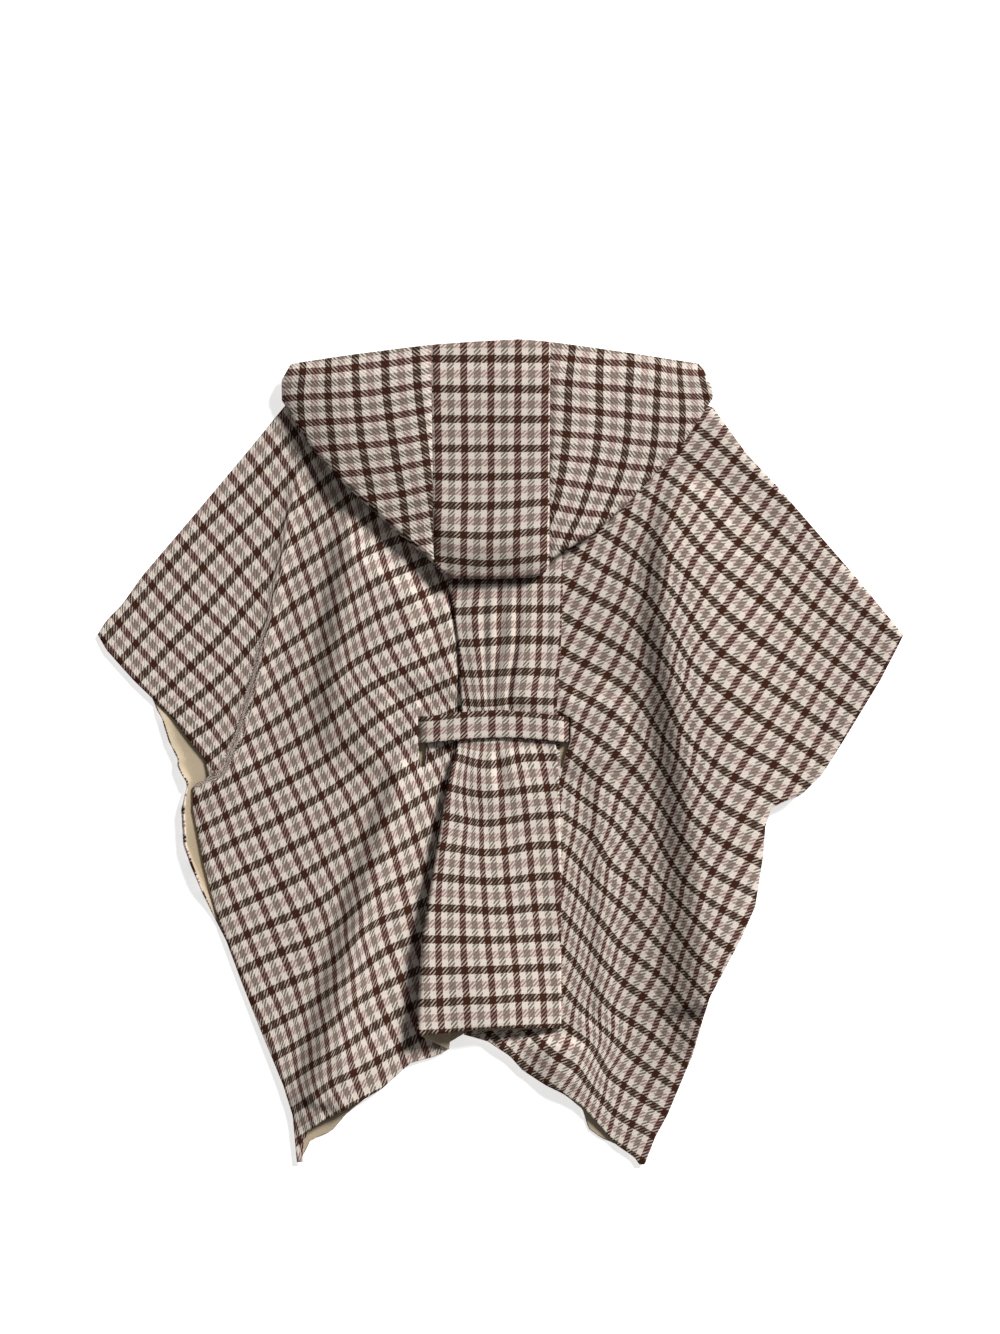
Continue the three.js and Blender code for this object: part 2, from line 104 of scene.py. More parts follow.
# Outer edge of each side back: y, x
LEFT_EDGE = [
    (480, -151), (434, -269), (373, -319), (298, -382), (223, -446), (185, -473),
    (166, -492), (148, -503), (129, -492), (91, -458), (44, -409), (15, -388),
    (-8, -369), (-28, -364), (-35, -371), (-41, -384), (-71, -384), (-138, -371),
    (-203, -354), (-284, -324), (-340, -302), (-415, -271), (-453, -259), (-511, -254),
]
RIGHT_EDGE = [
    (480, 151), (431, 266), (373, 308), (335, 344), (223, 441), (166, 488), (147, 503),
    (129, 494), (91, 474), (16, 428), (-26, 401), (-52, 374), (-61, 349), (-69, 336),
    (-91, 329), (-129, 326), (-190, 316), (-228, 299), (-303, 259), (-378, 239),
    (-453, 208), (-480, 193), (-514, 180),
]
# Inner edge of each side back, under the pleat and along the hem: y, x
LEFT_INNER = [
    (457, -50), (66, -40), (15, -38), (-130, -50), (-371, -67), (-378, -79), (-387, -113),
    (-401, -129), (-419, -149), (-444, -194), (-460, -224), (-471, -240), (-486, -247),
    (-511, -248),
]
RIGHT_INNER = [
    (457, 40), (15, 0), (-200, -25), (-352, -45), (-359, -17), (-378, 12), (-396, 28),
    (-414, 56), (-424, 77), (-439, 101), (-467, 126), (-490, 146), (-505, 168), (-514, 174),
]
# Fold edges of the box pleat: y, left, right, radius of the left turn, height it is lifted to
PLEAT_EDGES = [
    (457, -61, 77, 1.5, 0), (222, -66, 78, 1.5, 0), (195, -62, 78, 1.5, 0.3),
    (141, -53, 76, 1.5, 0.6), (84, -50, 73, 1.5, 0.5), (60, -49, 71, 1.5, 0.3),
    (33, -49, 69, 1.5, 0), (10, -55, 69, 1.6, 0), (-30, -65, 73, 2.2, 6),
    (-130, -82, 76, 3.5, 10), (-223, -98, 76, 4.5, 12), (-346, -105, 76, 5, 12),
]
# The centre back's hem: y
PLEAT_HEM = {"left": -350, "middle": -341, "right": -343, "left_tab": -370, "right_tab": -347}
# Lines of the side backs' grid at the belt slits: y, outer x, inner x
LEFT_SLIT_LINES = [
    (457, -118, -98), (60, -104, -92), (12, -104, -92), (-18, -101, -94), (-24, -101, -94),
    (-360, -150, -132),
]
RIGHT_SLIT_LINES = [
    (457, 104, 80), (60, 88, 73), (14, 88, 73), (-19, 77, 74.5), (-26, 78, 75.5),
    (-350, 100, 78),
]
# The slits: low y, high y
LEFT_SLIT = (-18, 46)
RIGHT_SLIT = (-19, 46)

# Folds of the side backs: length of the fade at the start and the end, the share left at the end,
# then the crest in pixels of the photograph with its steep height, the width of the steep slope to
# its left, the gentle height, the width of the gentle slope and the reach of the slope to its right
FOLDS = [
    (60, 0, [
        (304, 440, 3, 14, 1, 30, 12), (290, 514, 3, 14, 1, 30, 12), (279, 581, 3, 14, 1, 30, 12),
        (268, 641, 3, 14, 1, 30, 12), (255, 690, 3, 12, 1, 30, 10), (243, 726, 3, 10, 1, 24, 8),
        (231, 754, 3, 10, 1, 20, 8), (214, 773, 2.5, 9, 1, 20, 8), (196, 783, 2, 8, 1, 20, 8),
    ]),
    (70, 0, [
        (356, 496, 7, 34, 2, 80, 200), (352, 560, 15, 37, 4, 100, 200),
        (345, 620, 15, 38, 6, 105, 135), (338, 690, 11, 38, 6, 105, 110),
        (333, 745, 3, 36, 3, 105, 90), (330, 785, 1, 36, 1, 105, 90),
    ]),
    (14, 0.6, [
        (412, 735, 3, 20, 2, 60, 50), (404, 765, 10, 26, 3, 90, 60),
        (385, 835, 15, 32, 3, 105, 100), (367, 900, 17, 37, 4, 110, 160),
        (345, 980, 17, 38, 4, 115, 160), (328, 1050, 16, 38, 4, 115, 160),
        (315, 1110, 10, 34, 4, 110, 150),
    ]),
    (25, 0.6, [
        (682, 474, 3, 26, 2, 60, 60), (672, 512, 7, 30, 4, 70, 90), (667, 550, 11, 34, 6, 80, 110),
        (667, 620, 14, 42, 8, 90, 140), (677, 700, 15, 44, 9, 95, 160),
        (688, 780, 15, 46, 9, 100, 160), (697, 860, 15, 52, 11, 115, 160),
        (703, 940, 15, 62, 15, 130, 150), (708, 1020, 14, 68, 15, 135, 140),
    ]),
    (20, 0.6, [
        (556, 1012, 7, 56, 2, 70, 50), (554, 1050, 7, 56, 2, 70, 50),
        (566, 1100, 5, 40, 2, 50, 50),
    ]),
]
# Lesser folds, with the same values all along: fade, share left at the end, the values, the crest
EVEN_FOLDS = [
    (60, 0.6, (2, 18, 1, 30, 40), [(598, 745), (601, 860), (603, 1060)]),
    (60, 0.6, (1, 20, 3, 60, 60), [(778, 560), (790, 700), (786, 760)]),
    (30, 0, (2, 9, 1, 20, 12), [(200, 802), (222, 790), (262, 752)]),
    (25, 0, (2, 10, 1, 20, 12), [(766, 806), (728, 790), (712, 776)]),
    (25, 0, (2, 10, 1, 20, 12), [(764, 812), (742, 822), (722, 824)]),
    (20, 0, (2, 8, 1, 16, 10), [(452, 712), (441, 694), (404, 676)]),
    (20, 0, (2, 8, 1, 16, 10), [(572, 712), (582, 696), (612, 676)]),
    (30, 0.6, (2, 10, 2, 24, 16), [(330, 1040), (320, 1085), (308, 1150)]),
]
for fold_fade, end_share, values, crest in EVEN_FOLDS:
    FOLDS.append((fold_fade, end_share, [place + values for place in crest]))
GENTLE_POWER = 1.4
FOLD_POWER = 4  # how sharply the highest of the folds wins where they meet
FADE_BEFORE = 0.3  # share of a fold's fade that lies before its crest starts

# The cloth rises beside the pleat: y, width of the rise left of it; and where it starts there, as
# the distance out from the pleat's edge
LEFT_RAMP = [(-346, 105), (-30, 62), (20, 34), (66, 56)]
RIGHT_RAMP = 50.0
START_BELOW_BELT = -10.0
START_AT_BELT = 3.0
START_ABOVE_BELT = -3.0
BELOW_BELT = (-20, -70)  # y where what holds below the belt starts and is full
ABOVE_BELT = (20, 66)
# Below the pleat's hem the right back rises freely: y where that starts and is full, and least x
BELOW_PLEAT = (-346, -374)
BELOW_PLEAT_X = -60.0
# Above the belt the left back also comes up close to the pleat: distance out from it, height
PLEAT_LIP = [(0.5, 0), (4, 3.4), (8, 5.0), (13, 5.2), (26, 4.2), (54, 0)]

# Bands in x or y: where each starts, is full, stops being full and ends
PLEAT_LIP_Y = (60, 100, 180, 214)
PRESS_X = (-152, -112, 92, 104)  # the belt holds the cloth down here
PRESS_Y = (-26, 0, 60, 100)
OVER_BELT_Y = (-35, -8, 56, 84)  # the belt's hidden ends lift it here
LEFT_TAIL_X = (-192, -168, -104, -103)
LEFT_LIP_X = (-104, -103, -92, -64)
RIGHT_TAIL_X = (72, 87, 150, 172)
PRESS_STAYS = 0.12  # share of a fold that stays under the belt
TAIL_RISE = 4.3
SLIT_RISE = 1.8

# Height of the left back where it passes under the hood: x, height
UNDER_HOOD = [(-250, 0), (-200, 4.5), (-130, 7.5), (-92, 7.5), (-78, 0)]
UNDER_HOOD_START = (-60, -15)  # distance from the hood's fold where it starts and is full
RIGHT_FROM_HOOD = (10, 72)  # distance where the right back's folds start and are full
# The most that the left back's folds may rise at a distance from the hood's fold
HOOD_LIMIT = 30.0
HOOD_LIMIT_AT = 130.0
HOOD_LIMIT_POWER = 1.3

# The front where it reaches past the back: y, distance out; and along the hem: y, x
FRONT_LEFT_REACH = [
    (76, -4), (53, 10), (15, 26), (-16, 36), (-28, 33), (-35, 21), (-41, 7), (-71, 14),
    (-115, 20), (-176, 10), (-208, 4), (-271, -4),
]
FRONT_LEFT_HEM = [
    (-341, -30), (-371, -80), (-384, -113), (-419, -154), (-451, -193), (-473, -212),
    (-484, -238), (-506, -249),
]
FRONT_RIGHT_HEM = [
    (-341, 0), (-378, 20), (-414, 64), (-445, 103), (-470, 111), (-481, 126), (-494, 156),
    (-508, 172),
]
FRONT_INSET = 4.0
# How far the front also stays behind the shoulder's edge and near the neck, and the y where that
# starts and is full
SHOULDER_TUCK = 16.0
SHOULDER_TUCK_Y = (105, 125)
NECK_TUCK = 9.0
NECK_TUCK_Y = (415, 440)
# The curl of the front's outer edge: y, share of a full curl
FRONT_CURL = [
    (90, 0.0), (70, 0.25), (0, 0.3), (-30, 0.5), (-45, 1.0), (-120, 1.0), (-180, 0.7), (-230, 0.3),
    (-271, 0.0),
]
CURL_LENGTH = 13.0
CURL_RADIUS = 5.0
CURL_LEAST = 2.0  # length where the front doesn't reach past the back
CURL_MOST = 0.4  # share of the width that the curl takes at most
LEAST_BEND = 1e-4  # keeps a flat edge from dividing by nothing
CURL_POINTS = 9
FRONT_POINTS = 64

# Hood: opening edge and crown folds as x, y; body as x, under level, turn radius, crown level and
# how soon the crown is reached
HOOD_TOP = [
    (-272, 466), (-261, 485), (-178, 496), (-87, 507), (-32, 511), (23, 514), (60, 511),
    (152, 499), (250, 485), (264, 455),
]
HOOD_SIDE_FOLD = [
    (-272, 440), (-233, 378), (-197, 337), (-123, 269), (-84, 236), (62, 240), (119, 276),
    (156, 309), (225, 383), (264, 442),
]
HOOD_CENTER_FOLD = [
    (-84, 236), (-77, 226), (-61, 218), (-13, 217), (42, 219), (56, 225), (61, 236),
]
HOOD_BODY = [
    (-272, 7.2, 3, 16, 1.6), (-250, 8.2, 5, 22, 1.6), (-200, 12, 6.8, 31, 1.6),
    (-130, 15, 7, 35, 1.6), (-92, 15, 6.8, 36, 2), (-60, 14, 5.4, 36.5, 6),
    (20, HOOD_UNDER_LEVEL, 5.6, 36.5, 6), (60, HOOD_UNDER_LEVEL, 6, 35, 2.8),
    (100, HOOD_UNDER_LEVEL, 6, 33, 1.6), (136, 7.4, 6, 29, 1.6), (200, 7.2, 4, 23, 1.6),
    (264, 7.2, 2.6, 15, 1.6),
]
HOOD_LEFT_SEAM = [(243, -83), (508, -86)]
HOOD_RIGHT_SEAM = [(239, 60), (510, 62)]
HOOD_MIDDLE_Y = 400.0
HOOD_ENDS = (-272.0, 264.0)
HOOD_RIM = 4.0  # how far the crown comes down at the opening edge
HOOD_RIM_START = 0.8  # share of the way from the fold to that edge
HOOD_TIP_X = 200.0  # from the neck's point to here the under layer's seam runs out to the edge
HOOD_TIP_GAP = 6.0
SEAM_DIP = 1.2  # how far the cloth dips at a seam of the hood
SEAM_REACH = 4.0
SEAM_HALF_GAP = 0.8 * SEAM_GAP
HOOD_SIDE_COLUMNS = 36
HOOD_CENTER_COLUMNS = 30
UNDER_POINTS = 24
HOOD_TURN_STEPS = 9
CROWN_POINTS = 48
CROWN_START = UNDER_POINTS + HOOD_TURN_STEPS - 1

# Half belt: x, low y, high y; and its way: x, z
BELT_EDGES = [
    (-150, 9, 39), (-104, 13, 43), (-56, 16, 50), (0, 20, 53), (49, 17, 49), (88, 14, 43),
    (134, 10, 39),
]
BELT_ROUTE = [
    (-148, 4.4), (-122, 4.4), (-106.5, 4.4), (-103.2, 5.0), (-101.0, 7.6), (-99.4, 10.0),
    (-95, 11.6), (-88, 12.6), (-72, 13.2), (-56, 13.6), (-30, 13.6), (0, 13.6), (30, 13.6),
    (58, 13.6), (70, 13.4), (77.5, 12.0), (82, 9.5), (86, 4.5), (104, 4.4), (132, 4.4),
]
BELT_POINTS = 9

# Where dark warps and wefts cross, read from the photograph in pixels.
# Each row is one weft: its count, then (warp count, x, y) along it.
LEFT_SLEEVE_CHECKS = [
    (1, [(10, 277, 451), (6, 203, 528), (4, 169, 566), (0, 103, 641)]),
    (2, [(10, 292, 475), (6, 220, 548), (2, 152, 626)]),
    (3, [(8, 277, 534), (4, 205, 609), (2, 170, 645)]),
    (4, [(7, 273, 577), (4, 227, 631), (1, 172, 685)]),
    (5, [(5, 260, 634), (3, 229, 670), (1, 189, 703)]),
    (6, [(3, 244, 691), (1, 210, 725), (0, 189, 738)]),
    (7, [(2, 239, 732), (0, 208, 759)]),
]
LEFT_BODY_CHECKS = [
    (1, [(11, 294, 433)]),
    (3, [(12, 336, 473), (10, 302, 500)]),
    (5, [(13, 373, 516), (11, 340, 540), (9, 303, 566)]),
    (6, [(14, 403, 538), (12, 359, 557), (10, 331, 580), (8, 293, 606), (7, 274, 622)]),
    (8, [(14, 422, 595), (12, 378, 616), (9, 330, 651), (7, 295, 672), (5, 257, 701)]),
    (9, [(14, 433, 623), (10, 350, 666), (8, 323, 688), (4, 247, 739)]),
    (10, [(14, 443, 653), (12, 403, 671), (7, 317, 729), (3, 236, 777)]),
    (11, [
        (14, 454, 680), (12, 420, 695), (10, 381, 716), (8, 344, 746), (4, 268, 792),
        (2, 226, 816),
    ]),
    (12, [(9, 380, 753), (7, 340, 784), (5, 302, 807), (2, 234, 842)]),
    (13, [(8, 374, 793), (5, 313, 835), (3, 269, 859), (1, 226, 880)]),
    (14, [(7, 364, 837), (5, 324, 862), (3, 282, 886), (1, 236, 907)]),
    (16, [(8, 401, 880), (7, 377, 891), (5, 347, 918), (2, 281, 952)]),
    (17, [(8, 408, 910), (6, 361, 931), (4, 335, 960), (3, 316, 971), (1, 271, 991)]),
    (19, [(7, 401, 978), (5, 355, 1002), (3, 326, 1027), (1, 293, 1047)]),
    (21, [(5, 378, 1060), (4, 354, 1072), (3, 331, 1082), (1, 306, 1102)]),
]
RIGHT_CHECKS = [
    (1, [(1, 716, 443), (3, 753, 477), (5, 792, 508), (7, 824, 543)]),
    (3, [(0, 664, 474), (2, 702, 506), (4, 738, 543), (6, 778, 573), (10, 850, 637)]),
    (5, [(-1, 627, 513), (0, 648, 527), (2, 669, 558), (4, 704, 593), (6, 741, 627), (10, 820, 686)]),
    (7, [(-1, 606, 570), (1, 646, 595), (2, 656, 610), (5, 688, 662), (7, 728, 695), (11, 810, 753)]),
    (9, [(-1, 578, 625), (1, 621, 650), (3, 656, 680), (6, 679, 729), (7, 695, 747), (10, 758, 790)]),
    (11, [
        (0, 570, 690), (2, 611, 714), (4, 646, 746), (5, 660, 763), (8, 688, 814), (9, 706, 830),
        (11, 749, 857),
    ]),
    (13, [
        (1, 570, 754), (3, 599, 781), (5, 635, 811), (6, 652, 827), (9, 683, 880), (10, 701, 895),
        (12, 743, 920),
    ]),
    (15, [
        (2, 575, 824), (3, 592, 835), (5, 608, 863), (7, 645, 893), (8, 661, 909), (11, 698, 959),
        (12, 716, 971),
    ]),
    (17, [(3, 577, 894), (7, 618, 944), (9, 657, 973), (10, 673, 988), (12, 698, 1021)]),
    (19, [(4, 575, 963), (8, 612, 1010), (10, 652, 1036), (12, 685, 1064)]),
    (21, [(5, 570, 1030), (6, 589, 1043), (9, 607, 1074), (10, 624, 1086), (12, 665, 1113)]),
    (22, [(5, 557, 1057), (6, 578, 1069), (9, 603, 1100), (10, 614, 1113), (12, 653, 1136)]),
]
CENTER_CHECKS = [
    (-6, [(3, 501, 580), (4, 519, 580), (5, 540, 580), (6, 564, 580)]),
    (-5, [(2, 474, 611), (3, 500, 609), (4, 518, 609), (5, 540, 609), (6, 563, 609)]),
    (-4, [(2, 476, 643), (3, 500, 641), (4, 517, 640), (5, 539, 640), (6, 562, 641)]),
    (-3, [(2, 480, 674), (3, 497, 673), (4, 513, 672), (5, 538, 672), (6, 558, 673)]),
    (-2, [(2, 483, 703), (3, 495, 703), (4, 510, 700), (5, 534, 701), (6, 556, 702)]),
    (0, [(0, 457, 757), (2, 478, 764), (3, 500, 764), (4, 517, 758), (5, 542, 757)]),
    (1, [(2, 479, 794), (3, 502, 793), (4, 523, 790), (5, 547, 788)]),
    (2, [(0, 447, 816), (1, 468, 820), (2, 480, 823), (3, 503, 821), (4, 526, 817), (5, 551, 815)]),
    (3, [(0, 443, 846), (1, 464, 849), (2, 481, 852), (3, 505, 851), (4, 529, 846), (5, 554, 845)]),
    (5, [(0, 438, 907), (1, 463, 908), (2, 485, 910), (3, 510, 910), (4, 535, 907), (5, 559, 907)]),
    (8, [(0, 440, 1001), (1, 467, 999), (2, 493, 999), (3, 518, 997), (4, 543, 997)]),
]
HOOD_CENTER_CHECKS = [
    (0, [(0, 437, 361), (2, 491, 361), (4, 545, 361)]),
    (3, [(0, 439, 450), (2, 491, 450), (4, 544, 450)]),
    (5, [(0, 439, 506), (2, 491, 507), (4, 544, 503)]),
    (6, [(0, 438, 535), (2, 490, 537), (4, 543, 532)]),
    (7, [(0, 438, 559), (2, 490, 564), (4, 543, 558)]),
]
# In the hood's side panels the warp runs across, so a row here is one upright weft.
HOOD_LEFT_CHECKS = [
    (0, [(0, 304, 373), (-1, 301, 398), (-2, 303, 424)]),
    (1, [(0, 329, 372), (-2, 331, 423), (-3, 334, 449)]),
    (2, [(0, 356, 369), (-1, 358, 396), (-3, 363, 447), (-4, 368, 473)]),
    (3, [(0, 386, 366), (-1, 387, 393), (-3, 394, 444), (-5, 403, 495)]),
    (4, [(0, 417, 362), (-2, 421, 413), (-3, 424, 439), (-5, 430, 489)]),
]
HOOD_RIGHT_CHECKS = [
    (0, [(0, 571, 361), (-1, 568, 385), (-3, 566, 436), (-5, 560, 483), (-6, 555, 508)]),
    (1, [(0, 599, 364), (-2, 599, 414), (-4, 594, 462), (-6, 580, 513), (-7, 568, 537)]),
    (2, [(0, 630, 365), (-1, 628, 391), (-3, 626, 442), (-5, 614, 492), (-6, 604, 515)]),
    (3, [(0, 658, 369), (-2, 655, 420), (-4, 649, 469)]),
    (4, [(0, 679, 373), (-1, 681, 397), (-2, 682, 421)]),
    (5, [(0, 700, 374), (-1, 706, 397)]),
]
BELT_CHECKS = [
    (0, [(0, 437, 717), (1, 464, 714), (2, 492, 713), (3, 519, 713), (4, 545, 715), (5, 566, 718)]),
    (1, [(0, 437, 745), (1, 464, 742), (2, 492, 741), (3, 519, 741), (4, 545, 743), (5, 566, 746)]),
]


# Values of a column of a table against its first, linear between rows and held at the ends
def along(table, at, column=1):
    rows = np.array(sorted(table), dtype=float)
    return np.interp(at, rows[:, 0], rows[:, column])


def mix(a, b, t):
    return a + (b - a) * t


# From 0 at the start to 1 at the end, soft at both
def ease(start, end, at):
    t = np.clip((np.asarray(at, dtype=float) - start) / (end - start), 0, 1)
    return t * t * (3 - 2 * t)


def band(start, full, until, end, at):
    return ease(start, full, at) * (1 - ease(until, end, at))


# Points through rails, each stretch cut in as many steps as its count says
def through(rails, counts):
    points = [rails[0]]
    for start, end, count in zip(rails, rails[1:], counts):
        points.extend(mix(start, end, k / count) for k in range(1, count + 1))
    return np.array(points)


# The same, with a longest step in place of the counts
def stations(stops, step):
    gaps = [abs(end - start) for start, end in zip(stops, stops[1:])]
    return through(stops, [max(1, math.ceil(gap / step)) for gap in gaps])


# Distance to a crest, the side of it a point is on, how far along it lies, and the crest's length
def crest_distance(crest, x, y):
    best = np.full(x.shape, np.inf)
    side = np.zeros(x.shape)
    run_at = np.zeros(x.shape)
    run = 0.0
    for (x0, y0), (x1, y1) in zip(crest, crest[1:]):
        length = math.hypot(x1 - x0, y1 - y0)
        t = np.clip(((x - x0) * (x1 - x0) + (y - y0) * (y1 - y0)) / length**2, 0, 1)
        away_x = x - mix(x0, x1, t)
        away_y = y - mix(y0, y1, t)
        distance = np.hypot(away_x, away_y)
        nearer = distance < best
        best = np.where(nearer, distance, best)
        side = np.where(nearer, away_x, side)
        run_at = np.where(nearer, run + t * length, run_at)
        run += length
    return best, side, run_at, run


def from_px(points):
    return [((px - CENTER_PX[0]) * PIXEL, (CENTER_PX[1] - py) * PIXEL) for px, py in points]


# Height of one fold: a hollow slope left of its crest and a falling one right of it
def fold_rise(fold, x, y):
    fade, end_share, rows = fold
    crest = from_px([row[:2] for row in rows])
    distance, side, run_at, run = crest_distance(crest, x, y)
    runs = np.concatenate([[0], np.cumsum([math.dist(a, b) for a, b in zip(crest, crest[1:])])])
    steep, steep_width, gentle, gentle_width, after = (
        np.interp(run_at, runs, [row[k] for row in rows]) for k in (2, 3, 4, 5, 6)
    )
    hollow = steep * (1 - ease(0, 1, distance / steep_width))
    hollow += gentle * np.clip(1 - distance / gentle_width, 0, 1) ** GENTLE_POWER
    falling = (steep + gentle) * np.exp(-((distance / after) ** 2))
    share = ease(-FADE_BEFORE * fade, fade, run_at) * mix(end_share, 1, ease(0, fade, run - run_at))
    return share * np.where(side < 0, hollow, falling)


# Height of the side backs above their level where they lie flat
def side_rise(x, y):
    on_left = x < 0
    left = along(PLEAT_EDGES, y, 1)
    right = along(PLEAT_EDGES, y, 2)
    outside = np.maximum(left - x, x - right)
    start = mix(START_AT_BELT, START_BELOW_BELT, ease(*BELOW_BELT, y))
    start = np.where(on_left, mix(start, START_ABOVE_BELT, ease(*ABOVE_BELT, y)), 0)
    ramp = np.where(on_left, along(LEFT_RAMP, y), RIGHT_RAMP)
    beside_pleat = np.clip((outside - start) / ramp, 0, 1)
    below_pleat = ease(*BELOW_PLEAT, y) * (x > BELOW_PLEAT_X)
    beside_pleat = np.maximum(beside_pleat, below_pleat)
    from_hood = along(HOOD_SIDE_FOLD, x) - y
    right_clear = ease(0, 1, beside_pleat) * ease(*RIGHT_FROM_HOOD, from_hood)
    clear = np.where(on_left, beside_pleat, right_clear)
    press = mix(1, PRESS_STAYS, band(*PRESS_X, x) * band(*PRESS_Y, y))

    rises = np.stack([fold_rise(fold, x, y) for fold in FOLDS])
    rise = (rises**FOLD_POWER).sum(axis=0) ** (1 / FOLD_POWER)
    under_hood = along(UNDER_HOOD, x) * ease(*UNDER_HOOD_START, from_hood)
    limit = mix(under_hood, HOOD_LIMIT, ease(0, HOOD_LIMIT_AT, from_hood) ** HOOD_LIMIT_POWER)
    rise = np.where(on_left, np.minimum(rise, limit), rise)

    over_belt = band(*LEFT_TAIL_X, x) * TAIL_RISE
    over_belt += band(*LEFT_LIP_X, x) * SLIT_RISE
    over_belt += band(*RIGHT_TAIL_X, x) * TAIL_RISE
    over_belt *= band(*OVER_BELT_Y, y)
    lip = along(PLEAT_LIP, left - x) * band(*PLEAT_LIP_Y, y)
    return np.maximum(np.maximum(rise * clear * press, over_belt), lip)


# Half width of a neck opening at y, from the bottom of the opening to its points
def neck_half_width(y, bottom):
    return NECK_HALF_WIDTH * math.sqrt(np.clip((y - bottom) / (NECK_POINT_Y - bottom), 0, 1))


# The back's neck line at x
def back_neck_y(x):
    return BACK_NECK_Y + (NECK_POINT_Y - BACK_NECK_Y) * min(1, abs(x) / NECK_HALF_WIDTH) ** 2


PATTERN_UNIT = 100.0
SMOOTHING = 0.02
LEAST_SQUARE = 1e-12  # keeps the logarithm finite where a point is on a crossing


# A thin-plate map from a place in the plan to warp and weft counts, through the crossings read
def pattern(checks):
    rows = [(x, y, warp, weft) for weft, line in checks for warp, x, y in line]
    read = np.array(rows, dtype=float)
    places = (read[:, :2] - CENTER_PX) * (PIXEL, -PIXEL) / PATTERN_UNIT
    counts = read[:, 2:]

    def kernel(square):
        return 0.5 * square * np.log(square + LEAST_SQUARE)

    number = len(places)
    gaps = ((places[:, None, :] - places[None, :, :]) ** 2).sum(axis=2)
    plane = np.hstack([np.ones((number, 1)), places])
    system = np.zeros((number + 3, number + 3))
    system[:number, :number] = kernel(gaps) + SMOOTHING * np.eye(number)
    system[:number, number:] = plane
    system[number:, :number] = plane.T
    weights = np.linalg.solve(system, np.vstack([counts, np.zeros((3, 2))]))

    def at(x, y):
        points = np.stack([x, y], axis=-1).reshape(-1, 2) / PATTERN_UNIT
        square = ((points[:, None, :] - places[None, :, :]) ** 2).sum(axis=2)
        spread = kernel(square) @ weights[:number]
        flat = weights[number] + points @ weights[number + 1:]
        return (spread + flat).reshape(x.shape + (2,))

    return at


RIM_STEPS = 3
RIM_REACH = 0.8  # reach of the rounded rim, as a share of half the thickness
TOGETHER = 0.01  # points of two grids no further apart than this are one
LEAST_LENGTH = 1e-9


def unit(vectors):
    return vectors / np.maximum(np.linalg.norm(vectors, axis=-1, keepdims=True), LEAST_LENGTH)


